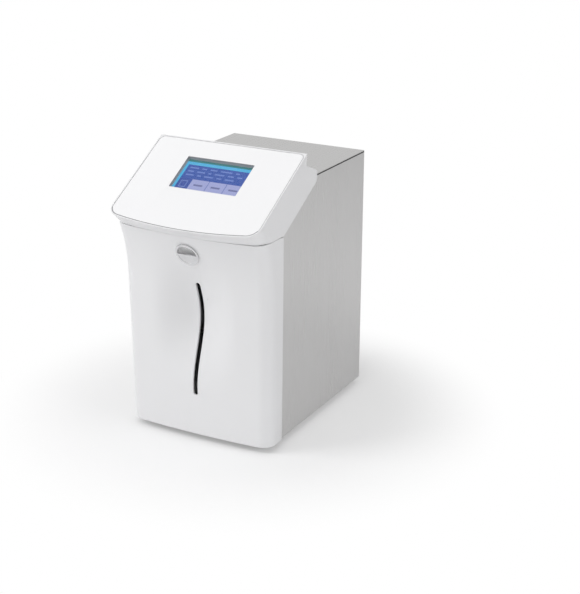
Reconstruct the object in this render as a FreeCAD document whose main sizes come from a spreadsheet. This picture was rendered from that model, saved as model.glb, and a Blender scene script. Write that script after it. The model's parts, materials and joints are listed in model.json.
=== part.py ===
import FreeCAD, Part
import Sketcher
import math
import os

# Bench-top electrolyte analyzer, in millimetres.
# +X is to the right seen from the front, +Y is to the rear, +Z is up.
# The origin is on the table, under the middle of the instrument.

os.makedirs("parts", exist_ok=True)
doc = FreeCAD.newDocument("ElectrolyteAnalyzer")
sheet = doc.addObject("Spreadsheet::Sheet", "Sizes")

SIZES = {
    # Moulded front: the depths count back from the foot of the door
    "shell_width": 212.0,
    "shell_wall": 2.5,
    "shell_corner": 17.7,
    "foot_height": 8.0,
    "seam_height": 281.0,
    "seam_gap": 0.5,
    "return_depth": 33.9,
    # Head
    "head_wall": 3.0,
    "lip_reach": 42.4,
    "lip_height": 293.1,
    "lip_bow": 9.8,
    "plate_tilt": 29.8,
    "plate_length": 155.5,
    "band_slope": 40.2,
    "nose_depth": 119.6,
    "nose_lower": 14.0,
    "nose_below_step": 11.7,
    "nose_round": 6.0,
    "step_depth": 90.6,
    "step_height": 355.7,
    # Fascia plate and display
    "plate_thickness": 1.4,
    "plate_rim": 1.6,
    "plate_groove": 0.4,
    "plate_corner": 7.5,
    "window_width": 95.0,
    "window_length": 54.0,
    "window_start": 69.2,
    "window_corner": 1.5,
    "gasket_thickness": 2.0,
    "touch_thickness": 1.1,
    "lcd_thickness": 3.2,
    "display_margin": 5.5,
    "display_gap": 4.0,
    "display_chip": 14.0,
    "display_chip_height": 2.0,
    "display_chip_left": 28.0,
    "display_chip_right": 4.0,
    "display_post": 6.0,
    "board_thickness": 1.6,
    # Door
    "door_taper": 2.0,
    "door_lean": 4.8,
    "sweep_height": 72.0,
    "sweep_reach": 14.8,
    "foot_bow": 3.2,
    "crease_bow": 7.8,
    "dish_depth": 24.0,
    "dish_height": 171.0,
    "dish_half_length": 100.0,
    "dish_half_width": 63.0,
    "slot_width": 6.4,
    "slot_low": 64.0,
    "slot_high": 212.0,
    "pull_height": 255.4,
    "pull_width": 29.6,
    "pull_length": 30.2,
    "pull_depth": 16.8,
    "pull_tilt": 25.0,
    "pull_flange": 1.2,
    "pull_proud": 1.0,
    "pull_seat_depth": 0.9,
    "pull_lip": 1.6,
    "pull_rim": 0.6,
    "pull_lip_proud": 0.4,
    "pull_slit": 3.4,
    "pull_ramp_depth": 6.2,
    "pull_cup_depth": 9.0,
    "catch_inset": 32.0,
    "catch_depth": 20.0,
    "hinge_depth": 8.0,
    "hinge_height": 14.0,
    "hinge_pin_radius": 2.5,
    "hinge_knuckle_radius": 4.5,
    "hinge_block_length": 11.0,
    "hinge_block_inset": 18.0,
    "hinge_ear": 4.0,
    # Steel case
    "case_inset": 5.2,
    "rear_flange": 12.0,
    "rear_screw_radius": 1.5,
    "rear_screw_head": 2.8,
    "rear_screw_height": 1.7,
    "rear_screw_inset": 14.0,
    "rear_screw_length": 6.0,
    "case_slope_run": 24.0,
    "case_slope_rise": 12.0,
    "case_sheet": 1.2,
    "case_below_step": 19.2,
    "case_rear": 267.9,
    "case_front": 24.0,
    "floor_front": 20.5,
    "cover_front": 93.0,
    "seal_thickness": 1.5,
    "flange_width": 9.0,
    "fitting_reach": 10.0,
    "foot_radius": 9.0,
    "foot_screw_radius": 2.0,
    "foot_inset_x": 19.0,
    "foot_inset_y": 28.0,
    "foot_screw_head": 2.2,
    "foot_screw_reach": 4.0,
    "screw_play": 0.2,
    # Rear panel
    "socket_z": 42.0,
    "inlet_x": 66.0,
    "switch_x": 28.0,
    "serial_x": -18.0,
    "usb_x": -58.0,
    "inlet_half_width": 13.7,
    "inlet_half_height": 10.0,
    "switch_half_width": 9.4,
    "switch_half_height": 6.4,
    "serial_half_width": 9.0,
    "serial_half_height": 5.0,
    "usb_half_width": 6.0,
    "usb_half_height": 5.5,
    "socket_play": 0.2,
    "rocker_radius": 4.5,
    "rocker_dip_radius": 16.0,
    "fitting_x": -72.0,
    "fitting_z": 96.0,
    "fitting_pitch": 24.0,
    "fitting_radius": 4.0,
    "fitting_collar": 3.0,
    "fitting_stem": 14.0,
    "fitting_nut": 4.0,
    "spigot_radius": 2.0,
    "vent_z": 232.0,
    "vent_pitch": 11.0,
    "vent_width": 3.2,
    "vent_length": 110.0,
    # Fluid bay
    "bay_depth": 70.0,
    "bay_top": 276.0,
    "bay_foot_depth": 14.0,
    "bay_shelf_depth": 12.0,
    "bay_screw_head": 3.0,
    "bay_screw_height": 1.6,
    "bay_screw_inset": 8.0,
    "catch_width": 14.0,
    "catch_drop": 24.0,
    "catch_height": 12.0,
    "magnet_depth": 8.0,
    "bracket_inset": 3.0,
    "striker_sheet": 1.5,
    "boss_inset": 3.0,
    "boss_width": 8.0,
    "boss_drop": 22.0,
    "boss_height": 8.0,
    "boss_front": 13.2,
    "ear_root": 2.2,
    "hinge_foot_start": 2.0,
    "hinge_foot_end": 16.0,
    "hinge_beam_drop": 2.5,
    "fit_gap": 0.3,
    "running_gap": 0.05,
    # Electronics
    "board_stand": 8.0,
    "board_start": 50.0,
    "board_end": 40.0,
    "board_low": 140.0,
    "board_high": 250.0,
    "board_post_radius": 3.0,
    "board_post_inset": 6.0,
    "supply_left": 14.0,
    "supply_right": 90.0,
    "supply_front": 130.0,
    "supply_rear": 235.0,
    "supply_stand": 5.0,
    "supply_height": 45.0,
    "supply_post_radius": 4.0,
    "supply_post_inset": 8.0,
    "supply_slot_inset": 12.0,
    "supply_slot_width": 5.0,
    "supply_slot_pitch": 12.0,
    # Sample probe
    "probe_height": 205.0,
    "probe_depth": 36.0,
    "probe_shaft_radius": 2.5,
    "probe_offset": 12.0,
    "probe_tip": 88.0,
    "probe_arm_width": 4.4,
    "needle_radius": 0.9,
    "cup_radius": 9.0,
    "cup_wall": 1.6,
    "cup_bar_half": 5.0,
    "probe_ear_gap": 4.0,
    "probe_ear": 4.0,
    "probe_ear_radius": 9.0,
    "probe_hub_radius": 7.0,
    "probe_gearbox": 10.0,
    "probe_gearbox_half": 12.0,
    "probe_can_radius": 11.0,
    # Pump
    "pump_x": -56.0,
    "pump_z": 92.0,
    "pump_size": 58.0,
    "race_radius": 24.5,
    "pump_tube_radius": 2.3,
    "tube_tail": 8.0,
    "tube_drop": 20.0,
    "tube_bend": 9.0,
    "feed_tube_radius": 1.5,
    "feed_tube_bend": 6.0,
    "roller_radius": 5.0,
    "roller_circle": 14.4,
    "pump_front": 30.0,
    "pump_deck": 20.0,
    "pump_shaft_radius": 3.0,
    "pump_hub_radius": 7.5,
    "roller_pin_radius": 1.5,
    "rotor_rim": 2.5,
    "rotor_plate": 2.0,
    "pump_motor_radius": 18.0,
    "pump_motor_length": 42.0,
    # Electrode module
    "module_x": 58.0,
    "module_z": 72.0,
    "electrode_width": 40.0,
    "electrode_depth": 28.0,
    "electrode_height": 19.0,
    "electrode_front": 34.0,
    "knob_radius": 11.0,
    "knob_height": 11.0,
    "knob_stem_radius": 4.0,
    "knob_stand": 3.0,
    "flute_radius": 2.4,
    "flute_offset": 1.2,
    "end_block": 12.0,
    "rail_bridge": 9.0,
    "end_block_seat": 5.0,
    "contact_radius": 1.5,
    "contact_length": 6.0,
    "sample_bore": 0.8,
    # Pinch valves
    "valve_z": 196.0,
    "valve_radius": 11.0,
    "valve_front": 30.0,
    "detector_x": 24.0,
    "detector_z": 168.0,
    "valve_pitch": 32.0,
    "valve_x": -72.0,
    "plunger_radius": 3.0,
}

for row, (name, value) in enumerate(SIZES.items(), start=1):
    sheet.set("A%d" % row, name)
    sheet.set("B%d" % row, repr(value))
    sheet.setAlias("B%d" % row, name)
doc.recompute()


class Formula:
    """A formula on the sheet's names, kept as text for an expression and as its present number."""

    def __init__(self, text, value):
        self.text = text
        self.value = value

    def __float__(self):
        return self.value

    def __neg__(self):
        return Formula("(-%s)" % self.text, -self.value)

    def __add__(self, other):
        other = formula(other)
        return Formula("(%s + %s)" % (self.text, other.text), self.value + other.value)

    def __sub__(self, other):
        other = formula(other)
        return Formula("(%s - %s)" % (self.text, other.text), self.value - other.value)

    def __mul__(self, other):
        other = formula(other)
        return Formula("(%s * %s)" % (self.text, other.text), self.value * other.value)

    def __truediv__(self, other):
        other = formula(other)
        return Formula("(%s / %s)" % (self.text, other.text), self.value / other.value)

    def __radd__(self, other):
        return formula(other) + self

    def __rsub__(self, other):
        return formula(other) - self

    def __rmul__(self, other):
        return formula(other) * self


def formula(item):
    return item if isinstance(item, Formula) else Formula(repr(float(item)), float(item))


def sine(angle):
    return Formula("sin(%s * 1 deg)" % angle.text, math.sin(math.radians(angle.value)))


def cosine(angle):
    return Formula("cos(%s * 1 deg)" % angle.text, math.cos(math.radians(angle.value)))


class Sheet:
    """Gives each name of the sheet as a formula."""

    def __getattr__(self, name):
        return Formula("Sizes." + name, float(sheet.get(name)))


s = Sheet()

# The table origin lies midway between the lip and the rear fittings.
FRONT = (s.lip_reach - s.case_rear - s.fitting_reach) / 2
NOSE_HIGH = s.step_height - s.nose_below_step
NOSE_LOW = NOSE_HIGH - s.nose_lower
CASE_TOP = s.step_height - s.case_below_step
CASE_WIDTH = s.shell_width - 2 * s.case_inset
HINGE_OUTER = s.shell_width / 2 - s.hinge_block_inset
CATCH_X = s.shell_width / 2 - s.catch_inset
HINGE_INNER = HINGE_OUTER - s.hinge_block_length
# Cutting tools end beyond the part.
WIDE = formula(400.0)
AHEAD = formula(-60.0)
PULL_AHEAD = formula(-30.0)
OVERRUN = 5
SCREW_CLEARANCE = 0.1


# Building blocks bound to the sheet

def bind(item, **formulas):
    for name, amount in formulas.items():
        item.setExpression(name, formula(amount).text)
    return item


def place(item, x, y, z):
    """Place a piece; y is counted back from the foot of the door."""
    for axis, amount in zip("xyz", (x, FRONT + y, z)):
        item.setExpression("Placement.Base." + axis, formula(amount).text)
    return item


def box(label, x, y, z):
    """A box from three spans."""
    item = doc.addObject("Part::Box", label)
    bind(item, Length=x[1] - x[0], Width=y[1] - y[0], Height=z[1] - z[0])
    return place(item, x[0], y[0], z[0])


TURNS = {
    "x": FreeCAD.Rotation(FreeCAD.Vector(0, 1, 0), 90),
    "y": FreeCAD.Rotation(FreeCAD.Vector(1, 0, 0), -90),
    "z": FreeCAD.Rotation(),
}


def rod(label, along, radius, x, y, z):
    """A cylinder along an axis; its place along that axis is a span."""
    item = doc.addObject("Part::Cylinder", label)
    item.Placement.Rotation = TURNS[along]
    span = {"x": x, "y": y, "z": z}[along]
    bind(item, Radius=radius, Height=span[1] - span[0])
    low = [span[0] if axis == along else amount for axis, amount in zip("xyz", (x, y, z))]
    return place(item, *low)


def joined(label, *items):
    item = doc.addObject("Part::MultiFuse", label)
    item.Shapes = list(items)
    return item


def cut(label, base, *tools):
    item = doc.addObject("Part::Cut", label)
    item.Base = base
    item.Tool = tools[0] if len(tools) == 1 else joined(label + "_tools", *tools)
    return item


def common(label, first, second):
    item = doc.addObject("Part::Common", label)
    item.Base = first
    item.Tool = second
    return item


def group(label, *items):
    item = doc.addObject("Part::Compound", label)
    item.Links = list(items)
    return item


def mirrored(label, item):
    other = doc.addObject("Part::Mirroring", label)
    other.Source = item
    other.Normal = FreeCAD.Vector(1, 0, 0)
    return other


def new_body(label):
    return place(doc.addObject("PartDesign::Body", label), 0, 0, 0)


def sketch_on(body, role, name):
    sketch = body.newObject("Sketcher::SketchObject", name)
    plane = next(item for item in body.Origin.OriginFeatures if item.Role == role)
    sketch.AttachmentSupport = [(plane, "")]
    sketch.MapMode = "FlatFace"
    return sketch


def outline(sketch, corners, bow=None):
    """A closed outline with bound corners. A bow makes its first edge an arc of that rise."""
    places = [FreeCAD.Vector(float(u), float(v), 0) for u, v in corners]
    for edge, (start, end) in enumerate(zip(places, places[1:] + places[:1])):
        if bow is not None and edge == 0:
            middle = (start + end) / 2 - FreeCAD.Vector(0, float(bow), 0)
            sketch.addGeometry(Part.ArcOfCircle(start, middle, end))
        else:
            sketch.addGeometry(Part.LineSegment(start, end))
    for edge in range(len(corners)):
        after = (edge + 1) % len(corners)
        sketch.addConstraint(Sketcher.Constraint("Coincident", edge, 2, after, 1))
    for edge, pair in enumerate(corners):
        for kind, amount in zip(("DistanceX", "DistanceY"), pair):
            dimension = Sketcher.Constraint(kind, -1, 1, edge, 1, float(amount))
            item = sketch.addConstraint(dimension)
            sketch.setExpression("Constraints[%d]" % item, formula(amount).text)
    if bow is not None:
        half = (corners[1][0] - corners[0][0]) / 2
        radius = (half * half + bow * bow) / (2 * bow)
        item = sketch.addConstraint(Sketcher.Constraint("Radius", 0, float(radius)))
        sketch.setExpression("Constraints[%d]" % item, radius.text)
    return sketch


def pad(body, sketch, length, symmetric=False, name="Pad"):
    item = body.newObject("PartDesign::Pad", name)
    item.Profile = sketch
    if symmetric:
        item.SideType = "Symmetric"
    return bind(item, Length=length)


def edges_of(item, test):
    """The names of the edges whose two ends pass a test."""
    return ["Edge%d" % index for index, edge in enumerate(item.Shape.Edges, start=1)
            if test(edge, [vertex.Point for vertex in edge.Vertexes])]


def rounded(body, base, radius, test, name="Fillet"):
    doc.recompute()
    item = body.newObject("PartDesign::Fillet", name)
    item.Base = (base, edges_of(base, test))
    return bind(item, Radius=radius)


def along(direction):
    """A test for straight edges along a direction."""
    def test(edge, ends):
        if len(ends) != 2 or edge.Curve.TypeId != "Part::GeomLine":
            return False
        run = ends[1] - ends[0]
        return run.cross(direction).Length < 1e-6 * run.Length
    return test


# Head: a moulded shell under the sloping plate

LOW = s.seam_height + s.seam_gap
TOP = s.plate_length * cosine(s.plate_tilt) - s.lip_reach


def on_plate(y):
    """The height of the plate's plane at a depth."""
    return s.lip_height + (y + s.lip_reach) * sine(s.plate_tilt) / cosine(s.plate_tilt)


def bowed_prism(label, turn, half_width, bow, length, start=0, inner_reach=60, outer_reach=60,
                near_corner=None, far_corner=None):
    """A block with a bowed near edge, standing square to a plane that is turned about the lip."""
    body = place(doc.addObject("PartDesign::Body", label), 0, -s.lip_reach, s.lip_height)
    body.Placement.Rotation = FreeCAD.Rotation(FreeCAD.Vector(1, 0, 0), float(turn))
    body.setExpression("Placement.Rotation.Angle", formula(turn).text)
    sketch = sketch_on(body, "XY_Plane", label + "_outline")
    outline(sketch, [
        (-half_width, start + bow),
        (half_width, start + bow),
        (half_width, start + length),
        (-half_width, start + length),
    ], bow=bow)
    block = pad(body, sketch, inner_reach + outer_reach, name=label + "_pad")
    sketch.setExpression("AttachmentOffset.Base.z", (-formula(inner_reach)).text)
    if near_corner is not None:
        middle = float(start + bow + length / 2)

        def near(edge, ends):
            return along(FreeCAD.Vector(0, 0, 1))(edge, ends) and ends[0].y < middle
        block = rounded(body, block, near_corner, near, label + "_near")
    if far_corner is not None:
        def far(edge, ends):
            return along(FreeCAD.Vector(0, 0, 1))(edge, ends) and ends[0].y > float(start + length) - 1
        block = rounded(body, block, far_corner, far, label + "_far")
    return body


BEYOND = -s.lip_reach - 8


def head_block(label, inset, corners):
    """The head's outer form, or the space inside it, from its side view and its bowed band."""
    side_body = new_body(label + "_side")
    side = outline(sketch_on(side_body, "YZ_Plane", label + "_side_outline"), corners)
    block = pad(side_body, side, s.shell_width, symmetric=True, name=label + "_side_pad")

    def nose(edge, ends):
        across = along(FreeCAD.Vector(1, 0, 0))(edge, ends)
        return across and ends[0].y > float(s.nose_depth - inset) - 0.01 and ends[0].z > float(NOSE_LOW) - 9
    rounded(side_body, block, s.nose_round - inset, nose, label + "_nose")
    bow = s.lip_bow * sine(s.band_slope + s.plate_tilt)
    band = bowed_prism(label + "_band", 90 - s.band_slope, s.shell_width / 2 - inset, bow,
                       s.plate_length + 60, start=inset, inner_reach=200, outer_reach=200,
                       near_corner=s.shell_corner - inset)
    return common(label, side_body, band)


def make_head():
    outer = head_block("head_outer", formula(0), [
        (BEYOND, LOW),
        (s.return_depth, LOW),
        (s.nose_depth, NOSE_LOW),
        (s.nose_depth, NOSE_HIGH),
        (s.step_depth, s.step_height),
        (TOP, on_plate(TOP)),
        (BEYOND, on_plate(BEYOND)),
    ])
    wall = s.head_wall
    drop = wall / cosine(s.plate_tilt)
    inner = head_block("head_space", wall, [
        (BEYOND, LOW - 30),
        (s.nose_depth - wall, LOW - 30),
        (s.nose_depth - wall, NOSE_HIGH - wall),
        (s.step_depth - wall, s.step_height - wall),
        (TOP - wall, on_plate(TOP - wall) - drop),
        (BEYOND, on_plate(BEYOND) - drop),
    ])
    half = CASE_WIDTH / 2 + 2 * s.fit_gap
    notch = box("head_notch", (-half, half), (s.return_depth, s.nose_depth + 5),
                (LOW - 20, CASE_TOP + s.fit_gap))
    rim = s.plate_rim
    recess = bowed_prism("head_recess", s.plate_tilt, s.shell_width / 2 - rim, s.lip_bow,
                         s.plate_length - 2 * rim, start=rim,
                         inner_reach=s.plate_thickness, outer_reach=20,
                         near_corner=s.shell_corner - rim, far_corner=s.plate_corner)
    return cut("head_shell", outer, inner, notch, recess, window("head_window", s.display_margin / 2))


def tilted_box(label, x, v, n):
    """A box in the plate's own frame: v runs up the plate from the lip, n stands out of it."""
    item = doc.addObject("Part::Box", label)
    item.Placement.Rotation = FreeCAD.Rotation(FreeCAD.Vector(1, 0, 0), float(s.plate_tilt))
    item.setExpression("Placement.Rotation.Angle", s.plate_tilt.text)
    bind(item, Length=x[1] - x[0], Width=formula(v[1] - v[0]), Height=n[1] - n[0])
    rise, run = sine(s.plate_tilt), cosine(s.plate_tilt)
    return place(item, x[0], v[0] * run - n[0] * rise - s.lip_reach, v[0] * rise + n[0] * run + s.lip_height)


def window(label, margin):
    """The display window, cut through the plate and the wall behind it."""
    half = s.window_width / 2 + margin
    return tilted_box(label, (-half, half),
                      (s.window_start - margin, s.window_start + s.window_length + margin),
                      (-3 * s.head_wall, s.head_wall))


def make_fascia():
    gap = s.plate_rim + s.plate_groove
    plate = bowed_prism("plate_blank", s.plate_tilt, s.shell_width / 2 - gap, s.lip_bow,
                        s.plate_length - 2 * gap, start=gap,
                        inner_reach=s.plate_thickness, outer_reach=0,
                        near_corner=s.shell_corner - gap, far_corner=s.plate_corner - s.plate_groove)
    return cut("fascia_plate", plate, window("plate_window", formula(0)))


# Display stack behind the window

def display_layer(label, margin, low, high):
    half = s.window_width / 2 + margin
    return tilted_box(label, (-half, half),
                      (s.window_start - margin, s.window_start + s.window_length + margin), (low, high))


BEHIND_WALL = -s.head_wall
GLASS = BEHIND_WALL - s.gasket_thickness
LCD = GLASS - s.touch_thickness
BOARD = LCD - s.lcd_thickness - s.display_gap


def make_display():
    margin = s.display_margin
    frame = display_layer("gasket_blank", margin, GLASS, -s.plate_thickness)
    inside = display_layer("gasket_window", formula(0), GLASS - 1, formula(5))
    collar = display_layer("gasket_collar", margin / 2 - s.fit_gap, GLASS - 1, formula(5))
    flange = display_layer("gasket_flange", margin, GLASS, BEHIND_WALL)
    gasket = cut("display_bezel", joined("gasket_solid", common("gasket_neck", frame, collar), flange),
                 inside)
    glass = display_layer("touch_panel", margin - 1, LCD, GLASS)
    module = display_layer("lcd_module", margin, LCD - s.lcd_thickness, LCD)
    board = display_layer("display_board_blank", margin - 2, BOARD - s.board_thickness, BOARD)
    half, post = s.window_width / 2 - s.display_post, s.display_post
    middle = s.window_start + s.window_length / 2
    chips = [tilted_box("display_chip_%d" % n, (x, x + s.display_chip),
                        (middle - s.display_chip / 2, middle + s.display_chip / 2),
                        (BOARD - s.board_thickness - s.display_chip_height, BOARD - s.board_thickness))
             for n, x in enumerate((-s.display_chip_left, s.display_chip_right))]
    board = joined("display_board", board, *chips)
    posts = []
    for n, x in enumerate((-half, half - post)):
        for m, v in enumerate((s.window_start + 1, s.window_start + s.window_length - post - 1)):
            posts.append(tilted_box("display_post_%d%d" % (n, m), (x, x + post), (v, v + post),
                                    (BOARD, LCD - s.lcd_thickness)))
    return [gasket, glass, module, board, group("display_posts", *posts)]


STRIKER = (s.catch_depth - s.striker_sheet - s.fit_gap, s.catch_depth - s.fit_gap)


# Door: a moulded skin that is bowed, swept forward at its top and dished round the slot

DOOR_STATIONS = 14
ROW_POINTS = 21


def door_half_width(z):
    rise = (z - float(s.foot_height)) / float(s.seam_height - s.foot_height)
    return float(s.shell_width) / 2 - float(s.door_taper) * (1 - rise)


def door_edge(z):
    """Depth of the door's face beside its corners: a slight lean, then a sweep up to the head."""
    rise = (z - float(s.foot_height)) / float(s.seam_height - s.foot_height)
    sweep = max(0.0, (z - float(s.seam_height - s.sweep_height)) / float(s.sweep_height))
    return -float(s.door_lean) * min(1.0, rise / 0.7) - float(s.sweep_reach) * sweep ** 2


def bell(value, reach):
    """A smooth hump: one in the middle, and zero from its reach outwards."""
    return math.cos(math.pi / 2 * min(1.0, abs(value) / reach)) ** 2


def door_face(x, z, half):
    """Depth of the door's outer face at a point."""
    rise = (z - float(s.foot_height)) / float(s.seam_height - s.foot_height)
    bow = float(s.foot_bow) + (float(s.crease_bow) - float(s.foot_bow)) * rise
    dish = float(s.dish_depth) * bell(z - float(s.dish_height), float(s.dish_half_length))
    return door_edge(z) - bow * (1 - (x / half) ** 2) + dish * bell(x, float(s.dish_half_width))


def door_section(z, inset, back):
    """One level outline of the door, or of the space behind its skin."""
    half = door_half_width(z)
    corner = float(s.shell_corner) - inset
    centre_x = half - float(s.shell_corner)
    centre_y = door_edge(z) + float(s.shell_corner)
    turn = math.atan(2 * float(s.foot_bow) / half)
    end_x = centre_x + corner * math.sin(turn)
    end_y = centre_y - corner * math.cos(turn)
    shift = end_y - inset - door_face(end_x, z, end_x)
    row = []
    for index in range(ROW_POINTS):
        x = -end_x + 2 * end_x * index / (ROW_POINTS - 1)
        row.append(FreeCAD.Vector(x, door_face(x, z, end_x) + inset + shift, z))
    face = Part.BSplineCurve()
    face.interpolate(row)
    side = half - inset
    edges = [face.toShape()]
    mid = math.pi / 4 - turn / 2
    for sign in (1, -1):
        start = FreeCAD.Vector(sign * end_x, row[0].y, z)
        middle = FreeCAD.Vector(sign * (centre_x + corner * math.cos(mid)),
                                centre_y - corner * math.sin(mid), z)
        end = FreeCAD.Vector(sign * side, centre_y, z)
        rear = FreeCAD.Vector(sign * side, back, z)
        edges += [Part.Arc(start, middle, end).toShape(), Part.makeLine(end, rear)]
    edges.append(Part.makeLine(FreeCAD.Vector(-side, back, z), FreeCAD.Vector(side, back, z)))
    return Part.Wire(Part.__sortEdges__(edges))


def door_block(label, inset, low, high, back):
    item = doc.addObject("Part::Feature", label)
    levels = [low + (high - low) * index / (DOOR_STATIONS - 1) for index in range(DOOR_STATIONS)]
    item.Shape = Part.makeLoft([door_section(z, inset, back) for z in levels], True, False)
    return place(item, 0, 0, 0)


def make_door():
    wall = float(s.shell_wall)
    low, high, back = float(s.foot_height), float(s.seam_height), float(s.return_depth)
    outer = door_block("door_outer", 0.0, low, high, back)
    inner = door_block("door_space", wall, low - 1, high + 1, back + 5)
    half = s.slot_width / 2
    slot = joined("door_slot",
                  box("slot_length", (-half, half), (AHEAD, s.return_depth),
                      (s.slot_low + half, s.slot_high - half)),
                  rod("slot_foot", "y", half, 0, (AHEAD, s.return_depth), s.slot_low + half),
                  rod("slot_head", "y", half, 0, (AHEAD, s.return_depth), s.slot_high - half))
    ears = []
    inner_x = HINGE_OUTER + 2 * s.fit_gap
    ear_end = inner_x + s.hinge_ear
    for name, x in (("right", (inner_x, ear_end)), ("left", (-ear_end, -inner_x))):
        ears.append(rod(name + "_ear", "x", s.hinge_knuckle_radius, x, s.hinge_depth, s.hinge_height))
        ears.append(box(name + "_ear_root", x, (s.ear_root, s.hinge_depth),
                        (s.hinge_height - s.hinge_knuckle_radius, s.hinge_height + s.hinge_knuckle_radius)))
    boss_z = (s.seam_height - s.boss_drop, s.seam_height - s.boss_drop + s.boss_height)
    boss_x = (CATCH_X + s.boss_inset, CATCH_X + s.boss_inset + s.boss_width)
    boss = box("striker_boss", boss_x, (-s.boss_front, STRIKER[0]), boss_z)
    ears += [boss, mirrored("striker_boss_twin", boss)]
    reach = s.seam_height - s.hinge_height
    relief = cut("door_top_relief",
                 box("relief_block", (-WIDE, WIDE), (s.hinge_depth, s.return_depth + 5),
                     (s.seam_height - 10, s.seam_height + 10)),
                 rod("relief_arc", "x", reach, (-WIDE, WIDE), s.hinge_depth, s.hinge_height))
    skin = cut("door_skin", outer, inner, relief)
    opening = pull_shape("pull_opening", formula(0), PULL_AHEAD, s.return_depth)
    seat = pull_shape("pull_seat", s.pull_flange, PULL_AHEAD, s.pull_seat_depth - s.pull_proud)
    bores = rod("ear_bores", "x", s.hinge_pin_radius, (-ear_end, ear_end), s.hinge_depth, s.hinge_height)
    return cut("front_door", joined("door_solid", skin, *ears), slot, opening, seat, bores)


def pull_body(label):
    """A body at the pull's centre, whose XZ plane lies in the door's sloping face."""
    body = place(doc.addObject("PartDesign::Body", label), 0, -s.pull_depth, s.pull_height)
    body.Placement.Rotation = FreeCAD.Rotation(FreeCAD.Vector(1, 0, 0), float(s.pull_tilt))
    body.setExpression("Placement.Rotation.Angle", s.pull_tilt.text)
    return body


def pull_shape(label, grow, near, far):
    """An oval block square to the door's sloping face, from one depth to another."""
    body = pull_body(label)
    sketch = sketch_on(body, "XZ_Plane", label + "_outline")
    sketch.setExpression("AttachmentOffset.Base.z", (-formula(near)).text)
    long, short = s.pull_length / 2 + grow, s.pull_width / 2 + grow
    ends = (FreeCAD.Vector(0, float(long), 0), FreeCAD.Vector(-float(short), 0, 0))
    curve = sketch.addGeometry(Part.Ellipse(*ends, FreeCAD.Vector(0, 0, 0)))
    sketch.exposeInternalGeometry(curve)
    sketch.addConstraint(Sketcher.Constraint("Coincident", curve, 3, -1, 1))
    sketch.addConstraint(Sketcher.Constraint("Vertical", curve + 1))
    for line, reach in ((curve + 1, long), (curve + 2, short)):
        item = sketch.addConstraint(Sketcher.Constraint("Distance", line, float(2 * reach)))
        sketch.setExpression("Constraints[%d]" % item, (2 * reach).text)
    pad(body, sketch, far - near, name=label + "_pad").Reversed = True
    return body


def pull_wedge(label, corners):
    """A prism across the pull, whose corners are its heights and depths on the sloping face."""
    body = pull_body(label)
    sketch = outline(sketch_on(body, "YZ_Plane", label + "_outline"), [(n, v) for v, n in corners])
    pad(body, sketch, s.pull_width * 2, symmetric=True, name=label + "_pad")
    return body


def make_pull():
    """Chrome oval with a ramp that leads the finger down behind a half-moon lip."""
    face = -s.pull_proud
    back = face + s.pull_cup_depth
    top, inner = s.pull_length, -s.pull_flange
    flange = pull_shape("pull_flange", s.pull_flange, face - s.pull_rim, face + s.pull_seat_depth)
    cup = pull_shape("pull_cup", -s.fit_gap, face, back)
    hollow = pull_shape("pull_hollow", inner, face - 2 * OVERRUN, back - s.pull_flange)
    ramp = pull_wedge("pull_ramp_wedge", [(s.pull_slit, s.pull_ramp_depth), (s.pull_length / 2, formula(0)),
                                          (top, formula(0)), (top, back), (s.pull_slit, back)])
    lip = pull_wedge("pull_lip_wedge",
                     [(formula(0), face + s.pull_lip), (formula(0), face - s.pull_lip_proud),
                                        (-top, face - s.pull_lip_proud), (-top, face + s.pull_lip)])
    shell = cut("pull_shell", joined("pull_blank", flange, cup), hollow)
    inside = pull_shape("pull_inside", inner / 2, face - OVERRUN, back)
    filling = common("pull_filling", inside, joined("pull_wedges", ramp, lip))
    return joined("door_pull", shell, filling)


def pair(label, item):
    """A piece and its twin on the other side."""
    return group(label, item, mirrored(label + "_twin", item))


def make_door_hardware():
    block_x = (HINGE_INNER, HINGE_OUTER)
    knuckle = rod("hinge_knuckle", "x", s.hinge_knuckle_radius, block_x, s.hinge_depth, s.hinge_height)
    beam = box("hinge_beam", block_x, (s.hinge_depth, s.floor_front + s.hinge_foot_end),
               (s.hinge_height - s.hinge_beam_drop, s.hinge_height + s.hinge_knuckle_radius))
    foot = box("hinge_foot", block_x, (s.floor_front + s.hinge_foot_start, s.floor_front + s.hinge_foot_end),
               (s.foot_height + s.case_sheet, s.hinge_height + s.hinge_knuckle_radius))
    bore = rod("hinge_bore", "x", s.hinge_pin_radius + s.running_gap,
               (HINGE_INNER - 1, HINGE_OUTER + 1), s.hinge_depth, s.hinge_height)
    block = cut("hinge_block", joined("hinge_block_solid", knuckle, beam, foot), bore)
    pin = rod("hinge_pin", "x", s.hinge_pin_radius,
              (HINGE_INNER + 1, HINGE_OUTER + 2 * s.fit_gap + s.hinge_ear),
              s.hinge_depth, s.hinge_height)
    return [pair("hinge_blocks", block), pair("door_hinge_pins", pin)]


def make_catch():
    """A magnet on the bay frame at each side of the top, and its plate on the door."""
    x = (CATCH_X, CATCH_X + s.catch_width)
    z = (s.seam_height - s.catch_drop, s.seam_height - s.catch_drop + s.catch_height)
    rear = s.catch_depth + s.magnet_depth
    magnet = box("magnet", x, (s.catch_depth, rear), z)
    bracket = box("magnet_bracket", x, (rear, s.bay_depth), (z[0] + s.bracket_inset, z[1] - s.bracket_inset))
    plate = box("striker", x, STRIKER, z)
    return [pair("door_magnets", magnet), pair("striker_plates", plate)], pair("magnet_brackets", bracket)


# Steel case: a U of bottom and sides, a lid on rubber strips, and a rear panel

FOOT_X = (-CASE_WIDTH / 2 + s.foot_inset_x, CASE_WIDTH / 2 - s.foot_inset_x)
FOOT_Y = (s.floor_front + s.foot_inset_y, s.case_rear - s.foot_inset_y)


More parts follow.
